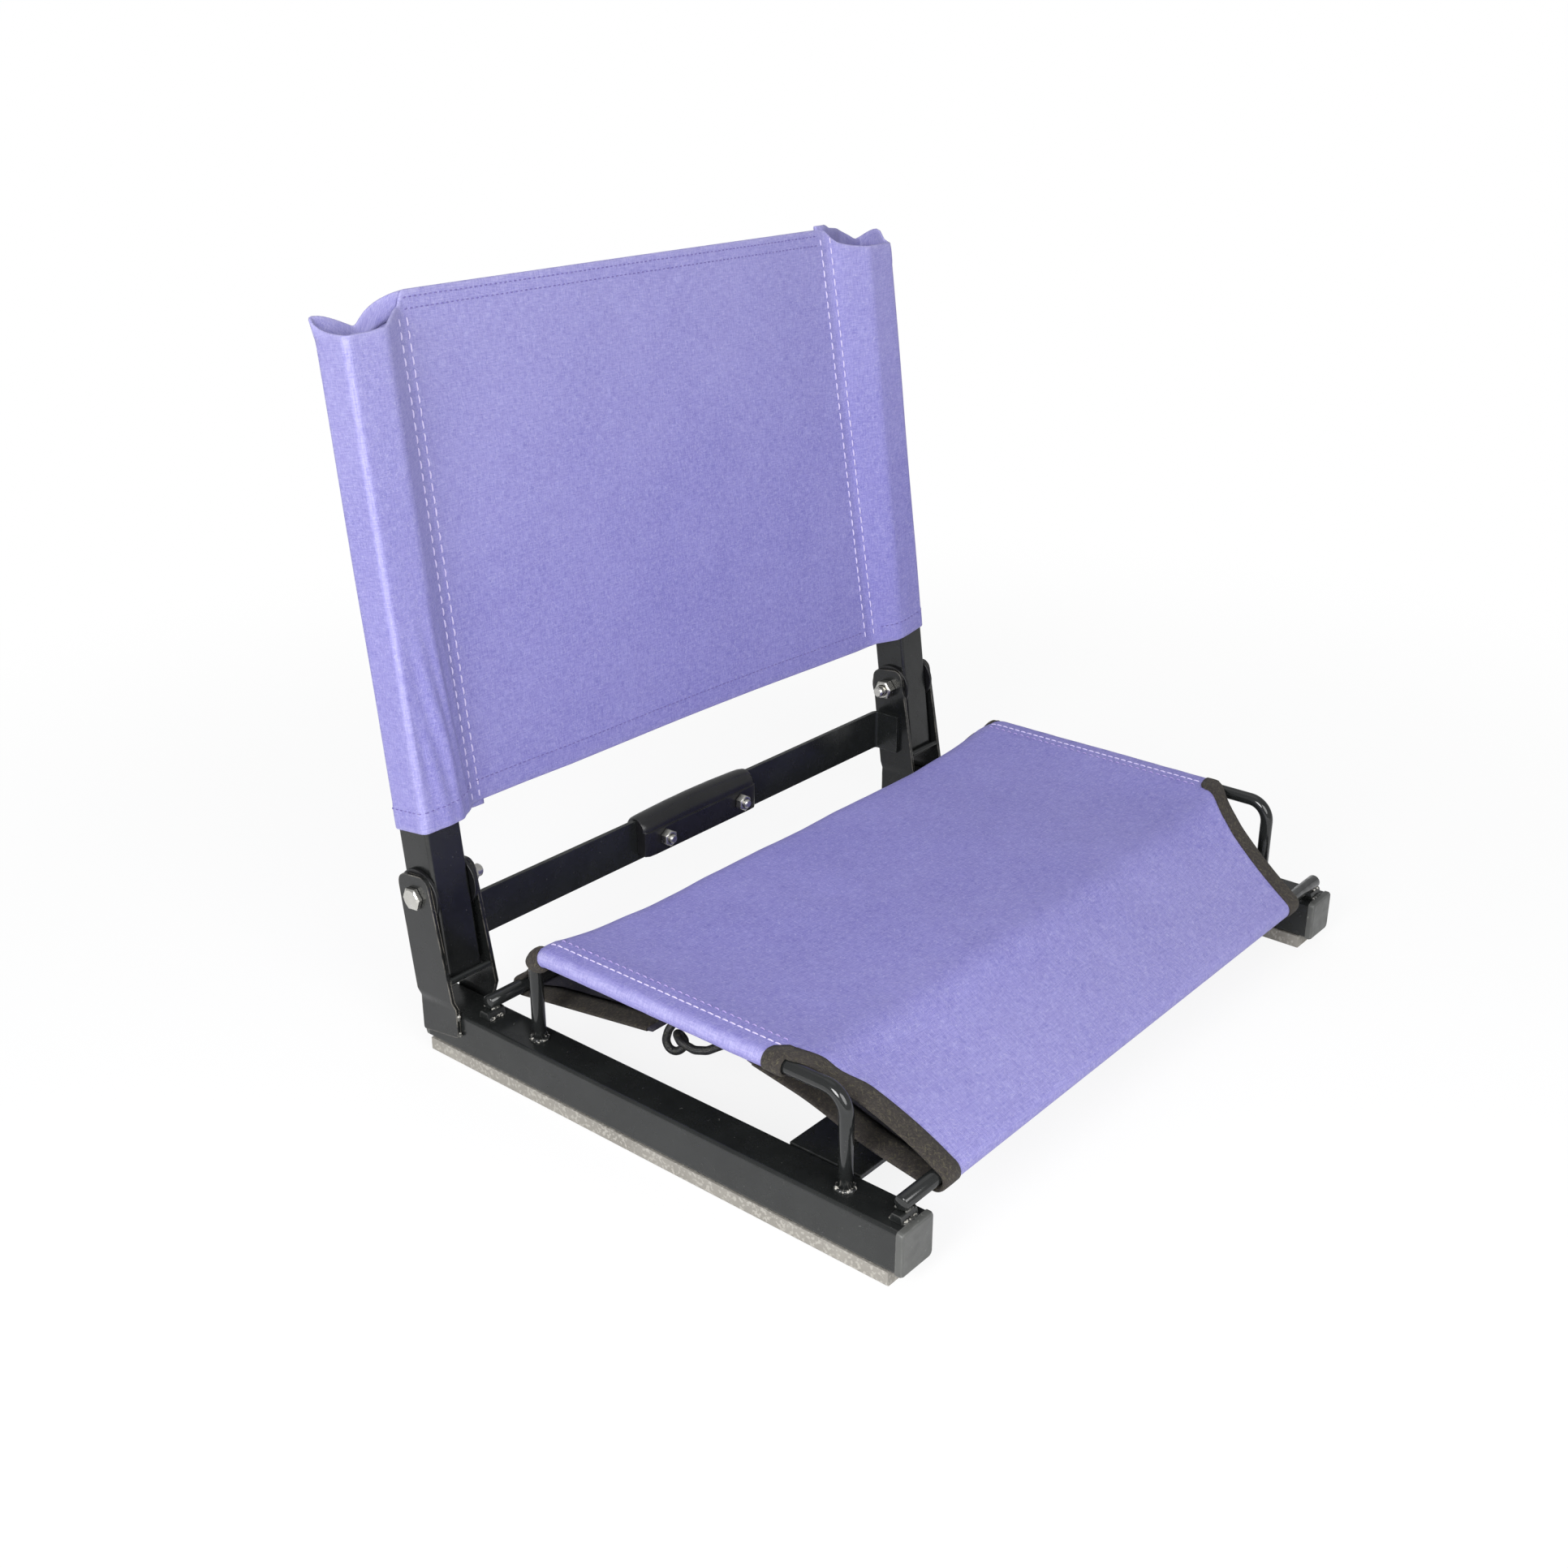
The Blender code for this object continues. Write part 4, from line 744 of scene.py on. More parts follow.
# %% [markdown]
# ## Weld beads
# Every rod stands in a bead of weld, painted over with the frame. The bright glints come from its ripples
# and from pale specks painted on its finish as glints. A bead is a bar along a ring or a short line, whose
# radius swells with each ripple.

# %% Weld beads on the rails
RING_STEPS, LINE_STEPS, BEAD_SIDES = 30, 14, 10
BEAD_Z = RAIL_TOP + 0.5
LEG_RING, LEG_BEAD = 4.4, 1.5
SADDLE_OFF, SADDLE_LONG, SADDLE_BEAD = 4.2, 11.6, 1.2
ROD_OFF, ROD_DOWN, ROD_LONG, ROD_BEAD = 3.2, 3.4, 6.0, 1.0
PLATE_X, PLATE_Y, PLATE_BEAD = RAIL_X + 14.2, 319.4, 1.1
PLATE_BEADS = ((31.5, 4.0), (20.5, 3.0))


def ripples(count, size, seed):
    """Radii of a bead with soft, uneven ripples."""
    waves = [(0.2 * math.sin(k * 1.9 + seed), 0.12 * math.sin(k * 0.7 + 2 * seed)) for k in range(count)]
    return [size * (1 + short + long) for short, long in waves]


def ring_bead(verts, faces, centre, radius, size, seed):
    path = []
    for k in range(RING_STEPS + 1):
        angle = math.tau * 0.985 * k / RING_STEPS + seed
        wobble = radius * (1 + 0.05 * math.sin(3 * angle + seed))
        path.append(at(centre.x + wobble * math.cos(angle), centre.y + wobble * math.sin(angle), centre.z))
    radii = [value / 1000 for value in ripples(RING_STEPS + 1, size, seed)]
    sweep(verts, faces, path, radii, BEAD_SIDES)


def line_bead(verts, faces, start, step, size, seed):
    start, step = Vector(start), Vector(step)
    path = [at(*start.lerp(start + step, k / LINE_STEPS)) for k in range(LINE_STEPS + 1)]
    taper = [0.35, 0.8] + [1] * (LINE_STEPS - 3) + [0.8, 0.35]
    radii = [value * share / 1000 for value, share in zip(ripples(LINE_STEPS + 1, size, seed), taper)]
    sweep(verts, faces, path, radii, BEAD_SIDES)


for side, sign in SIDES:
    verts, faces = [], []
    x = sign * RAIL_X
    for seed, y in enumerate((FRONT_LEG_Y, REAR_LEG_Y), 1):
        ring_bead(verts, faces, Vector((x, y, BEAD_Z)), LEG_RING, LEG_BEAD, 1.3 * seed + sign)
    for seed, y in enumerate((FRONT_ROD_Y, REAR_ROD_Y), 4):
        for off in (-SADDLE_OFF, SADDLE_OFF):
            start = (x - SADDLE_LONG / 2, y + off, BEAD_Z)
            line_bead(verts, faces, start, (SADDLE_LONG, 0, 0), SADDLE_BEAD, seed + off + sign)
        for off in (-ROD_OFF, ROD_OFF):
            start = (x - ROD_LONG / 2, y + off, CROSS_ROD_Z - ROD_DOWN)
            line_bead(verts, faces, start, (ROD_LONG, 0, 0), ROD_BEAD, seed + off)
    for seed, (low, tall) in enumerate(PLATE_BEADS, 8):
        line_bead(verts, faces, (sign * PLATE_X, PLATE_Y, low), (0, 0, tall), PLATE_BEAD, seed + sign)
    new_piece("rail_welds_" + side, verts, faces, weld_coat_painted_glints)
print("weld beads on both rails")

# %% [markdown]
# ## Back sling: section
# The back is one strip of canvas with a sleeve at each end that slips down over a post. Seen from above,
# the strip runs round the right post, across the panel and round the left post, and its free edges are sewn
# to the panel's rear. It could be built as flat panels and tubes, but one section drawn once keeps it in
# one piece: every place on it is a distance along the section and a height.

# %% Section of the sling
HINGE = at(0, 345.3, 104.7)
RECLINE, TOE_IN = math.radians(7.3), math.tan(math.radians(0.6))
SEAM_X, LAP_X, LAP_Y, WRAP = 191.1, 182.1, 1.5, 13.6
BACK_BOTTOM, BACK_TOP = 42.0, 331.0
POST_IN, POST_OUT = RAIL_X - WRAP, RAIL_X + WRAP
SECTION_ROUNDS, SECTION_STEP = (0, 16, 11, 3.3, 3.3, 11, 16, 0, 0), 3.2
back_axes = Matrix.Translation(HINGE) @ Matrix.Rotation(-RECLINE, 4, "X")
corners = [
    (LAP_X, LAP_Y), (SEAM_X, LAP_Y), (POST_IN, WRAP), (POST_OUT, WRAP), (POST_OUT, -WRAP), (POST_IN, -WRAP),
    (SEAM_X, 0), (LAP_X, 0), (0, 0),
]
half = divided(rounded([Vector(corner) for corner in corners], SECTION_ROUNDS, 6), SECTION_STEP)
section = half + [Vector((-point.x, point.y)) for point in reversed(half[:-1])]


def left_normals(line):
    """Direction to the left of the line at each of its points."""
    made = []
    for i in range(len(line)):
        ahead = (line[min(i + 1, len(line) - 1)] - line[max(i - 1, 0)]).normalized()
        made.append(Vector((-ahead.y, ahead.x)))
    return made


def along(run, values, spot):
    """A value of a line's points at a distance along it, in between two points if need be."""
    low, high = 0, len(run) - 1
    while high - low > 1:
        middle = (low + high) // 2
        if run[middle] <= spot:
            low = middle
        else:
            high = middle
    return values[low].lerp(values[high], (spot - run[low]) / (run[high] - run[low]))


def nearest(line, run, point):
    """How far along a line its point nearest to the given one lies."""
    return min(zip(line, run), key=lambda pair: (pair[0] - point).length)[1]


section_run = lengths_along(section)
section_out = left_normals(section)
SECTION, MIDDLE = section_run[-1], section_run[-1] / 2
REAR_SEAM, REAR_IN, REAR_MID, REAR_OUT, FRONT_OUT, FRONT_MID, FRONT_IN, FRONT_SEAM = (
    nearest(half, section_run, Vector(corner)) for corner in (
        (SEAM_X, LAP_Y), (POST_IN, WRAP), (RAIL_X, WRAP), (POST_OUT, WRAP),
        (POST_OUT, -WRAP), (RAIL_X, -WRAP), (POST_IN, -WRAP), (SEAM_X, 0),
    )
)
print("sling section: %.0f mm round both posts" % SECTION)

# %% [markdown]
# ## Back sling: lips and hem
# Above the post the sleeve is empty, so its lip dips, flares at the corners and pinches in between. The
# lower hem hangs lower towards the right, and on the left the lap behind the panel hangs below it. These
# edges could be drawn as smooth curves, but they were measured in the photograph, so they are lists of
# marks: a place and a value, joined by straight lines with softened corners.

# %% Marks along the edges of the sling
SOFT_STEP = 0.8
LEFT_LAP, SLEEVE_DROP = 3.5, 3


def between(marks, spot):
    """Value between marks of (place, value), in straight lines."""
    for (start, first), (end, second) in zip(marks, marks[1:]):
        if spot <= end:
            return first + (second - first) * (spot - start) / (end - start)
    return marks[-1][1]


def softly(marks, spot):
    """The same with the marks' corners rounded off."""
    return sum(between(marks, max(0.0, spot + SOFT_STEP * k)) for k in range(-2, 3)) / 5


def placed(*runs):
    """Marks from runs of (start, end, values), where the values stand at even steps of each run."""
    marks = []
    for start, end, values in runs:
        marks += [(start + (end - start) * k / (len(values) - 1), value) for k, value in enumerate(values)]
    return marks


lip_marks = {
    "right": placed(
        (0, REAR_SEAM + 7, (333.5, 333.5)), (REAR_SEAM + 8.5, REAR_IN, (331.3, 329.5)),
        (REAR_IN + 7, REAR_OUT, (326.5, 323.8, 320.5, 322)), (REAR_OUT + 7, FRONT_OUT - 8, (325, 326.5, 326)),
        (FRONT_OUT - 6, FRONT_OUT, (318.5, 316.5)), (FRONT_IN, FRONT_SEAM - 6, (316.5, 317.5, 319.3, 322)),
        (FRONT_SEAM - 1, FRONT_SEAM + 2, (328, 331)), (FRONT_SEAM + 3, MIDDLE, (331, 331)),
    ),
    "left": placed(
        (0, REAR_SEAM, (331, 330)), (REAR_SEAM + 6, REAR_IN, (328.2, 325.7, 321.7, 314.8)),
        (REAR_IN + 7, REAR_OUT, (318, 320.8, 323, 323.5)),
        (REAR_OUT + 2.5, FRONT_OUT, (318.5, 316, 314.5, 313.8, 313)),
        (FRONT_MID, FRONT_IN, (313.2, 314.5)), (FRONT_IN + 6, FRONT_SEAM, (317.2, 319.3, 321.7, 323)),
        (FRONT_SEAM + 3.5, MIDDLE, (331, 331)),
    ),
}
flare_marks = {
    "right": placed(
        (0, REAR_IN, (0, 0, -0.5)), (REAR_OUT, FRONT_OUT, (-1.0, 0.5, -2.0)),
        (FRONT_MID, MIDDLE, (-1.0, 0, 0)),
    ),
    "left": placed(
        (0, REAR_IN, (0, 0, -1.5)), (REAR_MID, REAR_OUT, (0.4, 2.8)), (REAR_OUT + 7, FRONT_OUT, (1.0, 0.6)),
        (FRONT_MID, FRONT_IN, (-0.8, 0)), (FRONT_SEAM, MIDDLE, (0, 0)),
    ),
}
hang_marks = (
    (-POST_OUT - 9, 0), (-POST_IN, 0), (-SEAM_X, 1), (-150, 1.7), (-110, 2.9), (0, 3.4), (60, 3.9),
    (130, 5.1), (175, 5.4), (SEAM_X, 4.9), (POST_IN, 0.6), (RAIL_X, -1.2), (POST_OUT + 9, -4.2),
)


def side_of(spot):
    """The side of the sling, and the distance to that side's end of the section."""
    return ("right", spot) if spot < MIDDLE else ("left", SECTION - spot)


def sling_edges(spot):
    """Bottom and top of the sling at a place along its section."""
    side, near = side_of(spot)
    x = along(section_run, section, spot).x
    bottom = BACK_BOTTOM - SLEEVE_DROP * ease((abs(x) - SEAM_X) / 20) - between(hang_marks, x)
    lap = LEFT_LAP * ease((REAR_SEAM + 3 - near) / 3) if side == "left" else 0.0
    return bottom - lap, softly(lip_marks[side], near)


print("lip marks:", {side: len(marks) for side, marks in lip_marks.items()})

# %% [markdown]
# ## Back sling: folds
# No cloth is quite flat: the panel has soft waves, the seams pucker, and the left sleeve has folds near its
# foot and a crease below its lip. The right seam was sewn a little out of true and leans inwards at the
# top. A cloth simulation would give folds of its own, so these are written down instead. A wave has a size,
# a length both ways and a number that picks it, and a fold has a height and a spread.

# %% Points of the sling
RIGHT_LEAN, PANEL_BOW = 8, 4
LIP_START, LIP_RISE, LIP_CURVE = 311, 17, 1.4
PANEL_WAVE = (0.45, 70, 95, 3.1)
SEAM_PUCKER, PUCKER_PITCH, PUCKER_WIDE = 0.22, 1.25, 4
RIGHT_WAVE, RIGHT_FOOT = (0.5, 9, 50, 7.7), (60, 45)
LEFT_WAVE, LEFT_FOOT, LEFT_FOLD = (2.4, 10, 60, 5.2), (88, 55), 0.7
CREASE_DEEP, CREASE_WIDE, CREASE_Z, CREASE_RISE = 1.1, 1.5, 310.3, 2.2


def hump(value, middle, width):
    """A soft bump: 1 at its middle, falling off on both sides."""
    return math.exp(-(((value - middle) / width) ** 2))


def soft_wave(wave, across, up):
    """A soft, uneven wave of the cloth."""
    size, wide, tall, pick = wave
    return size * noise.noise(Vector((across / wide, up / tall, pick)))


def sling_ripple(spot, z):
    """How far the cloth stands out from its plain section."""
    side, near = side_of(spot)
    ripple = soft_wave(PANEL_WAVE, spot, z)
    ripple += SEAM_PUCKER * math.sin(z * PUCKER_PITCH) * hump(near, FRONT_SEAM + 2, PUCKER_WIDE)
    face = ease((near - FRONT_OUT - 1) / 6) * ease((FRONT_SEAM - near) / 9)
    if side == "right":
        ripple += face * soft_wave(RIGHT_WAVE, near, z) * hump(z, *RIGHT_FOOT)
    else:
        folds = soft_wave(LEFT_WAVE, near + z / 9, z) + LEFT_FOLD * math.sin(near * 0.55 + z * 0.07)
        ripple += face * folds * hump(z, *LEFT_FOOT)
        outer = ease((near - REAR_OUT + 4) / 5) * ease((FRONT_OUT - 3 - near) / 6)
        crease = CREASE_Z + CREASE_RISE * (near - REAR_OUT) / (FRONT_OUT - REAR_OUT)
        ripple -= CREASE_DEEP * outer * hump(z, crease, CREASE_WIDE)
    above = max(0.0, z - LIP_START) / LIP_RISE
    return ripple + softly(flare_marks[side], near) * above ** LIP_CURVE


def sling_point(spot, z, lift):
    """A point of the sling in metres; lift is measured out from the middle of the cloth."""
    out = along(section_run, section_out, spot).normalized()
    place = along(section_run, section, spot) + out * (lift + sling_ripple(spot, z))
    if spot < MIDDLE:
        tilt = (z - BACK_BOTTOM) / (BACK_TOP - BACK_BOTTOM)
        place.x -= RIGHT_LEAN * tilt * ease((POST_IN - place.x) / 16) * ease((place.x - 60) / 110)
    bow = PANEL_BOW * max(0.0, 1 - (place.x / SEAM_X) ** 2)
    toe_in = math.copysign(z * TOE_IN, place.x) * min(1.0, abs(place.x) / SEAM_X)
    return back_axes @ (Vector((place.x - toe_in, place.y + bow, z)) / 1000)


print("panel's middle, half way up:", tuple(round(value, 3) for value in sling_point(MIDDLE, 180, 0)))

# %% [markdown]
# ## Back sling: the cloth
# Top and bottom are hemmed: the cloth is folded over to the inside for 12 mm and sewn down. The hem could
# be a thick strip, but here the cloth itself turns round at the edge and comes back behind, so the edge is
# round and double as it is on the chair. A Solidify modifier then gives the cloth its thickness. The cloth
# is painted paler towards the top and the left, as painted light where more light falls, and it is paler
# on the sleeves' folds and along the hems.

# %% Cloth of the back
CLOTH_MM, HEM, FOLD = 0.8, 12.5, 0.55
HEM_TURN = (0.8, 1.571, 2.34)
SLING_STEPS, HEM_STEPS = 96, 5
RIDGES, RIDGE_WIDE, SLACK_WIDE = ((FRONT_OUT, 0.9), (REAR_OUT, 0.4)), 1.3, 2.2
# painted light: the cloth is paler up the back and to the left, where more light falls
PAINTED_LIGHT_UP, PAINTED_LIGHT_LEFT, HEM_PALE = 0.52, 0.18, 0.6


def first_hem(edge, deep, steps):
    """Rows of (place, lift) from a hem's inner edge out to the fold at the cloth's edge."""
    rows = [(edge + deep - (deep - FOLD) * k / steps, -FOLD) for k in range(steps + 1)]
    return rows + [(edge + FOLD - FOLD * math.sin(a), -FOLD * math.cos(a)) for a in HEM_TURN]


def last_hem(edge, deep, steps):
    """The same at the far edge, from the fold back to the hem's inner edge."""
    rows = [(edge - FOLD + FOLD * math.sin(a), FOLD * math.cos(a)) for a in HEM_TURN]
    return rows + [(edge - FOLD - (deep - FOLD) * k / steps, -FOLD) for k in range(steps + 1)]


def sling_rows(bottom, top):
    """Heights and lifts up the sling, with both hems."""
    rows = first_hem(bottom, HEM, HEM_STEPS)
    for k in range(SLING_STEPS + 1):
        z = bottom + FOLD + (top - bottom - 2 * FOLD) * k / SLING_STEPS
        edge = min(z - bottom, top - z)
        rows.append((z, FOLD - (FOLD - 0.2) * ease((edge - HEM + 1) / 3)))
    return rows + last_hem(top, HEM, HEM_STEPS)


def thicken(piece, thickness_mm, inner_slot=0):
    shell = piece.modifiers.new("cloth_thickness", "SOLIDIFY")
    shell.thickness = thickness_mm / 1000
    shell.offset = 0
    shell.material_offset = inner_slot


def sling_wear(spot, z, bottom, top):
    """How pale the cloth is: painted light towards the top and the left, and paler on the sleeves' folds and
    the hems.
    """
    side, near = side_of(spot)
    slack = ease((130 - z) / 60) if side == "left" else 0.0
    wide = RIDGE_WIDE + SLACK_WIDE * slack
    ridge = sum(share * hump(near, fold, wide) for fold, share in RIDGES) * (1 - 0.4 * slack)
    x = along(section_run, section, spot).x
    # painted light, stronger towards the top and the left
    painted_light = PAINTED_LIGHT_UP * ease((z - 130) / 250) + PAINTED_LIGHT_LEFT * ease((60 - x) / 280)
    return min(1.0, painted_light + ridge + HEM_PALE * math.exp(-min(z - bottom, top - z) / 1.2))


verts, flat, wear_and_light = [], [], []
for spot in section_run:
    bottom, top = sling_edges(spot)
    rows = sling_rows(bottom, top)
    column = [sling_point(spot, z, lift) for z, lift in rows]
    verts += column
    flat += [(spot / 1000, height) for height in lengths_along(column)]
    wear_and_light += [sling_wear(spot, z, bottom, top) for z, lift in rows]
faces = [(a, d, c, b) for a, b, c, d in net(0, len(section_run), len(rows))]
sling = new_piece("back_canvas", verts, faces, canvas, "backrest", flat, wear_and_light)
thicken(sling, CLOTH_MM)
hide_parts("back_sling")
print("back canvas: %d x %d points" % (len(section_run), len(rows)))

# %% [markdown]
# ## Sewing
# The sleeve seams are sewn with two rows of pale thread, and the hems with purple thread. A line painted on
# the cloth would look flat, so each stitch is a small bent bar whose ends dive into the cloth. A row is
# given as a function of its length, so the same code sews straight and curved seams.

# %% Rows of stitches
STITCH = ((0, -0.32, 0.7), (0.18, 0.12, 1), (0.5, 0.24, 1.05), (0.82, 0.12, 1), (1, -0.32, 0.7))
STITCH_SIDES = 6
SEAM_LIFT, HEM_LIFT = 0.3 + CLOTH_MM / 2, FOLD + CLOTH_MM / 2
HEM_STITCH, LOWER_HEM = (2.2, 1.6, 0.34), 12.2
HEM_ROWS = ((3.8, True), (9.8, True), (LOWER_HEM, False))
SEAM_ROWS = (
    ((FRONT_SEAM - 2.4, FRONT_SEAM + 6.2), 6.5, 286),
    ((SECTION - FRONT_SEAM + 3.1, SECTION - FRONT_SEAM - 4.9), 1.0, 281),
    ((REAR_SEAM - 0.4, REAR_SEAM - 6.0), 4.5, 287),
    ((SECTION - REAR_SEAM + 0.4, SECTION - REAR_SEAM + 6.0), 4.5, 280),
)


def sew(verts, faces, flat, row, length, dash=4.8, gap=2.1, size=0.46):
    """Add stitches along a row; row gives a point and the direction out of the cloth at each millimetre."""
    for number in range(int(length // (dash + gap))):
        start = number * (dash + gap) + gap / 2
        faces += bar_faces(len(verts), len(STITCH), STITCH_SIDES)
        for share, lift, swell in STITCH:
            place = start + share * dash
            point, out = row(place)
            side = (row(place + 0.2)[0] - point).cross(out).normalized()
            for k in range(STITCH_SIDES):
                angle = math.tau * k / STITCH_SIDES
                offset = side * math.cos(angle) * size * swell + out * (math.sin(angle) * size * swell + lift)
                verts.append(point + offset / 1000)
                flat.append((place / 1000, (number % 50) * 0.004 + k * 0.0004))


def row_on(cloth_point, lift, inward=False):
    """A row for sew, from a function that gives the cloth's point at a distance along the row and a lift."""

    def row(distance):
        point = cloth_point(distance, lift)
        out = (cloth_point(distance, lift + 1) - point).normalized()
        return point, -out if inward else out

    return row


def upright_row(spot, low):
    """A seam row up the sling; low is its start above the bottom edge."""
    bottom = sling_edges(spot)[0] + low
    return row_on(lambda distance, lift: sling_point(spot, bottom + distance, lift), SEAM_LIFT)


def level_row(height, start, from_top, inward=False):
    """A hem row along the sling, at a height above its bottom edge or below its top edge."""

    def cloth_point(distance, lift):
        bottom, top = sling_edges(start + distance)
        return sling_point(start + distance, top - height if from_top else bottom + height, lift)

    return row_on(cloth_point, -HEM_LIFT if inward else HEM_LIFT, inward)


verts, faces, flat = [], [], []
for spots, low, length in SEAM_ROWS:
    for spot in spots:
        sew(verts, faces, flat, upright_row(spot, low), length)
seam_thread = new_piece("back_seam_thread", verts, faces, pale_thread, "backrest", flat)

verts, faces, flat = [], [], []
for height, from_top in HEM_ROWS:
    for inward in (False, True):
        row = level_row(height, FRONT_SEAM + 10, from_top, inward)
        sew(verts, faces, flat, row, SECTION - 2 * FRONT_SEAM - 12, *HEM_STITCH)
for start in (REAR_IN - 8, SECTION - FRONT_SEAM + 4):
    sew(verts, faces, flat, level_row(LOWER_HEM, start, False), FRONT_SEAM - REAR_IN + 4, *HEM_STITCH)
hem_thread = new_piece("back_hem_thread", verts, faces, dark_thread, "backrest", flat)

# %% [markdown]
# ## Seat canvas
# The seat is drawn along its side view, row by row. Each row has its own width, because the corners are cut
# hollow to clear the bent rods, and it sags a little between the side rods. On the front rod it has slid a
# little to the left. The flaps' free ends are hemmed like the back's. A plain grid would close the eyelets,
# so faces are left out there and the cord has real holes to pass.

# %% Cloth of the seat
FRONT_HALF, REAR_HALF, FLAP_FLARE = 194.5, 201.0, 5
HOLLOW_GAIN, HOLLOW_DEPTH, HOLLOW_CURVE = 14.5, 60, 1.8
CORNER_HALF, CORNER_SOFT, CORNER_STEP = 214, 5.5, RAIL_X - 218.3
SLID_LEFT, SAG, REAR_DROP = 5.3, 8, 2.5
SEAT_WAVES = ((0.9, 75, 60, 1.7), (0.5, 24, 34, 9.1))
SEAM_DENTS = ((0.6, 7, 1.8), (0.3, 13, 1.6))
FRONT_PAINTED_LIGHT = 0.3
FLAP_HEM, FLAP_STEPS, FLAP_ROWS = 22.0, 7, 12
SEAT_COLUMNS, EYELET_HOLE = 104, 3.2
seat_out = left_normals(seat_line)
SEAT_RUN = seat_run[-1]
FRONT_TURN = nearest(seat_line, seat_run, front_wrap[-1])
REAR_TURN = nearest(seat_line, seat_run, rear_wrap[0])


def seat_place(spot):
    """Depth and height of the seat's side view at a distance along it."""
    return along(seat_run, seat_line, spot)


def seat_normal(spot):
    return along(seat_run, seat_out, spot).normalized()


def seat_half(spot):
    """Half width of the seat canvas at a place along its side view."""
    y = seat_place(spot).x
    if spot <= FRONT_TURN:
        return FRONT_HALF + FLAP_FLARE * max(0.0, y - FRONT_ROD_Y) / (FRONT_FLAP_TIP.x - FRONT_ROD_Y)
    if spot >= REAR_TURN:
        return REAR_HALF
    if y < SLEEVE_FRONT:
        hollow = HOLLOW_GAIN * (max(0.0, y) / HOLLOW_DEPTH) ** HOLLOW_CURVE
        wide = FRONT_HALF + hollow + 1.5 * ease((y - 50) / 12)
        if wide > CORNER_HALF:
            wide = CORNER_HALF + CORNER_SOFT * (1 - math.exp((CORNER_HALF - wide) / CORNER_SOFT))
        return wide + CORNER_STEP * ease((y - 68) / 15)
    if y > SLEEVE_REAR:
        share = min(1.0, (y - SLEEVE_REAR) / (REAR_ROD_Y - SLEEVE_REAR))
        return REAR_HALF + (RAIL_X - REAR_HALF) * (1 - share) ** 1.5
    return RAIL_X


def seat_shift(spot, y):
    """How far the seat has slid along its front rod, below and above it."""
    if spot >= REAR_TURN:
        return 0.0
    return -SLID_LEFT * (ease((100 - y) / 60) if spot <= FRONT_TURN else 1 - ease((y - 60) / 24))


def seat_point(spot, x, lift):
    """A point of the seat canvas in metres."""
    place = seat_place(spot)
    shift = seat_shift(spot, place.x)
    inset = seat_half(spot) - abs(x)
    share = min(1.0, abs(x) / (seat_half(spot) - 12))
    on_top = FRONT_TURN < spot < REAR_TURN
    hang = ease((place.y - CROSS_ROD_Z) / (SEAT_TOP - CROSS_ROD_Z)) if on_top else 0.0
    wave = sum(soft_wave(wave, x, spot) for wave in SEAT_WAVES) * (1 - share ** 8) * hang
    if on_top and SLEEVE_FRONT <= place.x <= SLEEVE_REAR:
        wave -= sum(deep * hump(inset, seam, reach) for deep, seam, reach in SEAM_DENTS)
    place = place + seat_normal(spot) * (lift + wave)
    drop = SAG * hang * (1 - share ** 6)
    if on_top:
        drop += REAR_DROP * ease((place.x - SLEEVE_REAR - 2) / 12)
    return at(x + shift, place.x, place.y - drop)


def near_eyelet(spot, x):
    inset = min(spot, SEAT_RUN - spot)
    return any(math.hypot(inset - EYELET_INSET, x - eyelet) < EYELET_HOLE for eyelet in EYELETS_X)


seat_rows = first_hem(0, FLAP_HEM, FLAP_STEPS)
for spot in seat_run:
    if FOLD < spot < SEAT_RUN - FOLD:
        inset = min(spot, SEAT_RUN - spot)
        seat_rows.append((spot, FOLD - (FOLD - 0.1) * ease((inset - FLAP_HEM) / 4)))
seat_rows += last_hem(SEAT_RUN, FLAP_HEM, FLAP_STEPS)
wide = SEAT_COLUMNS + 1
heights = lengths_along([seat_point(spot, 0, lift) for spot, lift in seat_rows])
verts, flat, wear_and_light, faces, shade_faces = [], [], [], [], []
for (spot, lift), height in zip(seat_rows, heights):
    for k in range(wide):
        x = seat_half(spot) * (2 * k / SEAT_COLUMNS - 1)
        verts.append(seat_point(spot, x, lift))
        flat.append((x / 1000, height))
    # painted light: the seat's front is paler, where more light falls
    wear_and_light += [FRONT_PAINTED_LIGHT * ease((95 - seat_place(spot).x) / 70)] * wide
for i in range(len(seat_rows) - 1):
    spot = (seat_rows[i][0] + seat_rows[i + 1][0]) / 2
    for k in range(SEAT_COLUMNS):
        x = seat_half(spot) * (2 * (k + 0.5) / SEAT_COLUMNS - 1)
        if not near_eyelet(spot, x):
            low = i * wide + k
            # the flaps get the near-black cloth: painted shade beneath the seat
            if min(i, len(seat_rows) - 2 - i) < FLAP_ROWS:
                shade_faces.append(len(faces))
            faces.append((low, low + 1, low + wide + 1, low + wide))
print("seat canvas: %d rows of %d points" % (len(seat_rows), wide))

# %% [markdown]
# ## Sleeves of the seat
# Along the side rods the canvas goes on round the bar and comes back under the seat to its seam. A tube of
# its own would leave a gap at the seat's edge, so each row of the seat that reaches the rod is carried on
# round it, and the sleeve follows the rod into its rear bend.

# %% Sleeves round the side rods
ROLL, ROLL_STEP, ROLL_COUNT = 4.9, 12, 21
SEAM_TAIL = ((-6.2, -3.2), (-8.4, -1.9), (-16.1, -1.5))
PUCKER, ROLL_HIGHLIGHT = (0.22, 4, 11), (62, 34)


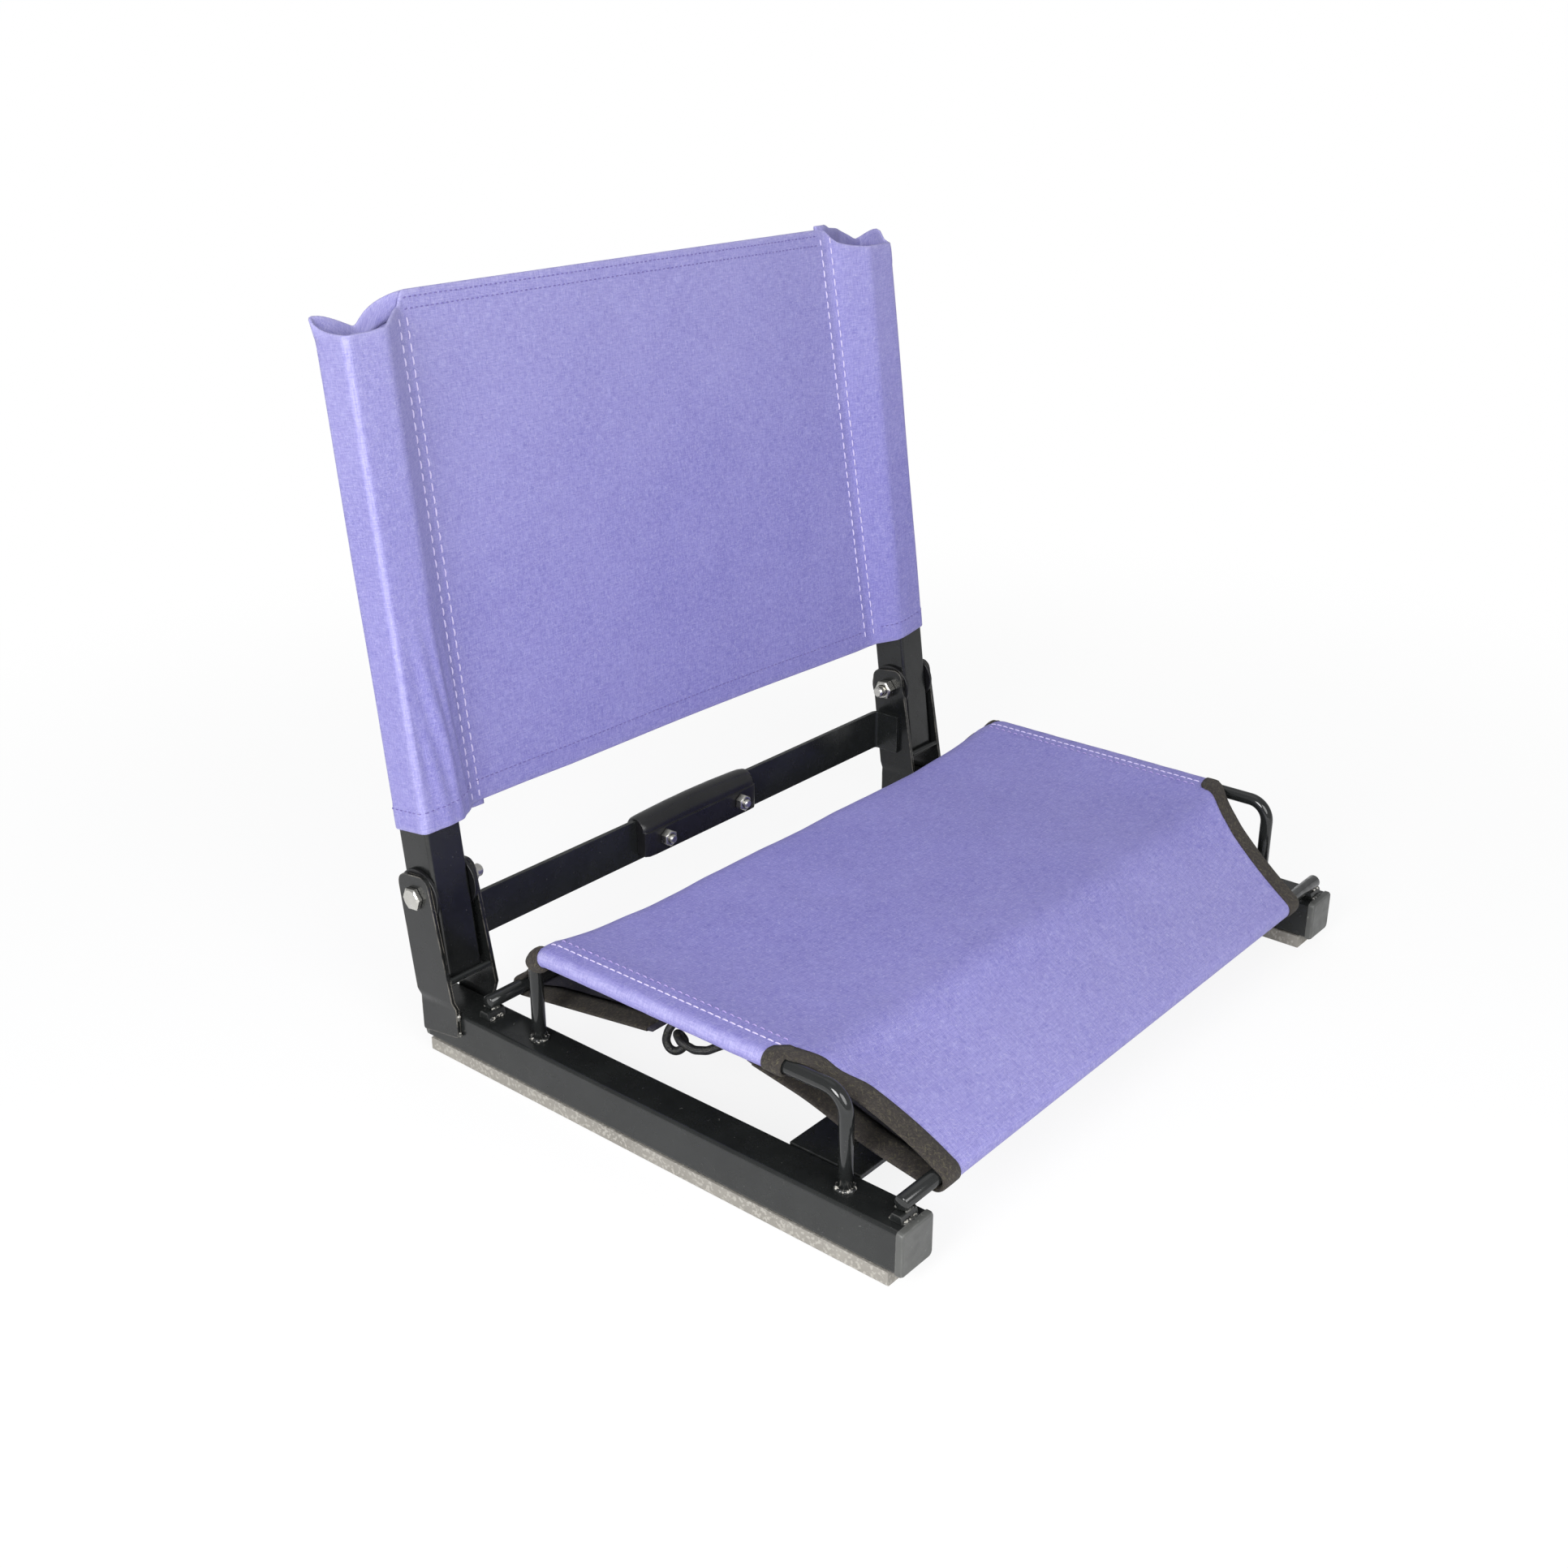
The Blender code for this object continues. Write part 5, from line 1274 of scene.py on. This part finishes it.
def sleeve_line():
    """Canvas round a side rod, from its top outwards, under it and back to the seam: (out, up) steps."""
    angles = [math.radians(ROLL_STEP * k) for k in range(1, ROLL_COUNT + 1)]
    ring = [Vector((ROLL * math.sin(a), ROLL * math.cos(a) - ROLL)) for a in angles]
    tail = [ring[-1]] + [Vector(spot) for spot in SEAM_TAIL]
    return ring + divided(rounded(tail, [0, 2, 3, 0], 3), 2.5)[1:]


sleeve = sleeve_line()
sleeve_run = lengths_along([Vector((0, 0)), *sleeve])
sleeve_outwards = left_normals([Vector((0, 0)), *sleeve])[1:]
held = [i for i, (spot, lift) in enumerate(seat_rows)
        if FRONT_TURN < spot < REAR_TURN and abs(seat_half(spot) - RAIL_X) < 0.01]


def sleeve_point(sign, step, place, lift):
    """A point of a side sleeve: step counts along its ring, and place is along the seat's side view."""
    spot = sleeve[step] + sleeve_outwards[step] * lift
    centre = seat_place(place) + seat_normal(place) * spot.y
    return at(sign * (RAIL_X + spot.x), centre.x, centre.y)


def facing(quads, keep):
    """The faces as they are, or turned over."""
    return quads if keep else [quad[::-1] for quad in quads]


for edge, (side, sign) in zip((0, SEAT_COLUMNS), SIDES):
    ribs = []
    for i in held:
        place = seat_rows[i][0]
        rib = [i * wide + edge]
        for step in range(len(sleeve)):
            rib.append(len(verts))
            pucker = soft_wave((*PUCKER, 2.4 + sign), step, place)
            verts.append(sleeve_point(sign, step, place, 0.1 + pucker))
            flat.append((sign * (RAIL_X + sleeve_run[step + 1]) / 1000, flat[rib[0]][1]))
            # painted highlight: a pale band along the roll's upper outer side
            wear_and_light.append(hump(ROLL_STEP * (step + 1), *ROLL_HIGHLIGHT))
        ribs.append(rib)
    for low, high in zip(ribs, ribs[1:]):
        strip = [(low[k], low[k + 1], high[k + 1], high[k]) for k in range(len(sleeve))]
        faces += facing(strip, sign > 0)
seat = new_piece("seat_cloth", verts, faces, canvas, "base", flat, wear_and_light)
# the underside shell and the flaps get the near-black cloth: painted shade beneath the seat
seat.data.materials.append(shade_cloth)
for number in shade_faces:
    seat.data.polygons[number].material_index = 1
thicken(seat, CLOTH_MM, 1)
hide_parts("seat_canvas")
print("sleeves: %d ribs each side" % len(held))

# %% [markdown]
# ## Seat sewing
# Two rows of thread close each side sleeve, a pale one by the rod and a duller, shorter one further in. The
# rows could be copied from the back, but the seat's cloth has its own shape, so the same stitches are sewn
# again along the seat, above and below it. They start behind the front collars.

# %% Stitches of the seat
SEAM_START, UNDER_LIFT = 8.5, -1.5 - CLOTH_MM / 2
SEAT_SEWING = (
    ("seat_seam_thread", pale_thread, 7, 0.45 + CLOTH_MM / 2, (4.4, 0.7), (0.42, 0.36)),
    ("seat_second_thread", dim_thread, 13, 0.4 + CLOTH_MM / 2, (3.0, 2.2), (0.38, 0.34)),
)


def along_y(y):
    """Place along the seat's side view where its upper run reaches a depth y."""
    steps = zip(seat_line, seat_run)
    return min((abs(point.x - y), spot) for point, spot in steps if FRONT_TURN < spot < REAR_TURN)[1]


def seat_row(x, lift, under=False):
    start = along_y(SLEEVE_FRONT + SEAM_START)
    return row_on(lambda distance, lift: seat_point(start + distance, x, lift), lift, under)


seam_length = SLEEVE_REAR - SLEEVE_FRONT - SEAM_START - 1
for name, thread, inset, lift, dashes, sizes in SEAT_SEWING:
    verts, faces, flat = [], [], []
    for side, sign in SIDES:
        x = sign * (RAIL_X - inset)
        sew(verts, faces, flat, seat_row(x, lift), seam_length, *dashes, sizes[0])
        sew(verts, faces, flat, seat_row(x, UNDER_LIFT, True), seam_length, *dashes, sizes[1])
    new_piece(name, verts, faces, thread, "base", flat)
print("seat thread: 2 rows each side, above and below")

# %% [markdown]
# ## Binding tape
# The hollow corners and the flaps' sides are bound with brown tape folded over the raw edge. It could be a
# bar along the edge, but tape is flat, so it is a narrow strip that follows the cloth on both faces. Under
# the seat the strip is broader, and near the sleeves it narrows on the left and widens on the right.

# %% Tape on the corners and flaps
TAPE, TAPE_MM = 12.5, 0.5
TAPE_SECTION = (
    (TAPE, 0.95), (8, 1.05), (4, 1.05), (0.6, 1.0), (-0.6, 0.75), (-1.0, 0.1),
    (-0.6, -0.6), (0.6, -0.85), (4, -0.9), (8, -0.9), (TAPE, -0.8),
)
BY_SLEEVE = {"left": (50, -0.25), "right": (68, 0.25)}


def tape_share(side, spot):
    """Width of the tape at a place, as a share of its plain width."""
    under = max(FRONT_TURN - spot, spot - REAR_TURN)
    start, change = BY_SLEEVE[side]
    by_sleeve = ease((seat_place(spot).x - start) / 18) * change if under < 0 else 0.0
    return 1 + 0.3 * ease((under - 12) / 20) + by_sleeve


def tape_flat(run, inset, lift):
    """A place on the tape's own flat map."""
    return run / 1000, (inset + 3 * lift) / 1000


verts, faces, flat = [], [], []
tape_runs = ((1.0, along_y(SLEEVE_FRONT)), (along_y(SLEEVE_REAR + 7), SEAT_RUN - 1.0))
for side, sign in SIDES:
    for start, end in tape_runs:
        spots = [spot for spot in seat_run if start <= spot <= end]
        faces += facing(net(len(verts), len(spots), len(TAPE_SECTION)), sign < 0)
        for spot in spots:
            broad = tape_share(side, spot)
            for inset, lift in TAPE_SECTION:
                edge = seat_half(spot) - (inset * broad if inset > 1 else inset)
                verts.append(seat_point(spot, sign * edge, lift))
                flat.append(tape_flat(spot, inset, lift))
edge_tape = new_piece("corner_tape", verts, faces, tape, "base", flat)
thicken(edge_tape, TAPE_MM)
print("tape on 4 corners and 4 flap sides")

# %% [markdown]
# ## Collars and boots
# A collar of the same tape finishes each sleeve's mouth. At the front it reaches over the top of the seat,
# and it is deeper on the left than on the right. At the rear the mouth is closed by a boot that hugs the
# rod's bend. A collar could be a plain ring, but it has to sit on the sleeve, so it is built from the
# sleeve's own points.

# %% Collars and boots at the sleeves' mouths
COLLAR_DEPTH, OVER_STEP = 11, 2.7
COLLAR_SECTION = ((COLLAR_DEPTH, 0.95), (6, 1.05), (0.8, 1.05), (-0.5, 0.85), (-0.9, 0.2), (-0.5, -0.45))
FRONT_COLLARS = {"left": (11.0, 4, 10), "right": (7.0, 6, 15.6)}
REAR_COLLAR = (3.0, 0, 10)
BOOT_START, BOOT_STEP, BOOT_SIDES = 25, 3.2, 24
BOOT_RADII = [4.6, 6.6] + [7.2 - 0.004 * k * k for k in range(10)] + [6.2, 4.2]

verts, faces, flat = [], [], []
for side, sign in SIDES:
    for mouth, inward, (depth, steps_over, width_over) in (
        (SLEEVE_FRONT, 1, FRONT_COLLARS[side]), (SLEEVE_REAR, -1, REAR_COLLAR),
    ):
        rings = len(sleeve) + steps_over
        faces += facing(net(len(verts), rings, len(COLLAR_SECTION)), sign * inward > 0)
        for step in range(-steps_over, len(sleeve)):
            over = 1 + OVER_STEP * (-step - 1) if step < 0 else -sleeve_run[step + 1]
            reach = depth * math.sqrt(1 - (max(0.0, over) / width_over) ** 2) / COLLAR_DEPTH
            for inset, lift in COLLAR_SECTION:
                spot = along_y(mouth) + inward * (inset * reach if inset > 1 else inset)
                if step < 0:
                    verts.append(seat_point(spot, sign * (RAIL_X - over), lift))
                else:
                    verts.append(sleeve_point(sign, step, spot, lift))
                flat.append(tape_flat(over, inset, lift))
collars = new_piece("sleeve_collars", verts, faces, tape, "base", flat)
thicken(collars, TAPE_MM)

verts, faces, flat = [], [], []
bend_y, bend_z = REAR_LEG_Y - ROD_BEND, SIDE_ROD_Z - ROD_BEND
for side, sign in SIDES:
    angles = [math.radians(BOOT_START + BOOT_STEP * k) for k in range(len(BOOT_RADII))]
    turns = [(bend_y + ROD_BEND * math.sin(a), bend_z + ROD_BEND * math.cos(a)) for a in angles]
    path = [at(sign * RAIL_X, y, z) for y, z in turns]
    sweep(verts, faces, path, [radius / 1000 for radius in BOOT_RADII], BOOT_SIDES, flat)
boots = new_piece("sleeve_boots", verts, faces, tape, "base", flat)
print("4 collars, 2 boots on the rods' rear bends")

# %% [markdown]
# ## Eyelets
# Each flap has five coated eyelets, pressed through the canvas, for the cord. A ring alone would float on
# the cloth, so the profile of the pressed rim, above and below the canvas, is turned round the middle of
# each hole.

# %% Eyelets in the flaps
EYELET_SIDES = 24
RIM = (
    (2.7, 0.0), (2.7, 1.2), (3.0, 1.55), (3.6, 1.65), (6.0, 1.45), (6.5, 1.2), (6.5, 1.0),
    (3.4, 1.0), (3.3, 0.0),
)
profile = [*RIM, *((radius, -height) for radius, height in reversed(RIM[1:-1]))]
verts, faces = [], []
for tip, roll in ((FRONT_FLAP_TIP, FRONT_ROLL), (REAR_FLAP_TIP, REAR_ROLL)):
    spot, inwards = flap_spot(tip, roll)
    across = Vector((0, inwards.x, inwards.y))
    upward = Vector((0, -inwards.y, inwards.x))
    for x in EYELETS_X:
        faces += net(len(verts), EYELET_SIDES, len(profile), ring=True, loop=True)
        for k in range(EYELET_SIDES):
            angle = math.tau * k / EYELET_SIDES
            spoke = Vector((1, 0, 0)) * math.cos(angle) + across * math.sin(angle)
            for radius, height in profile:
                verts.append(at(x, spot.x, spot.y) + (spoke * radius + upward * height) / 1000)
eyelets = new_piece("flap_eyelets", verts, faces, coating)
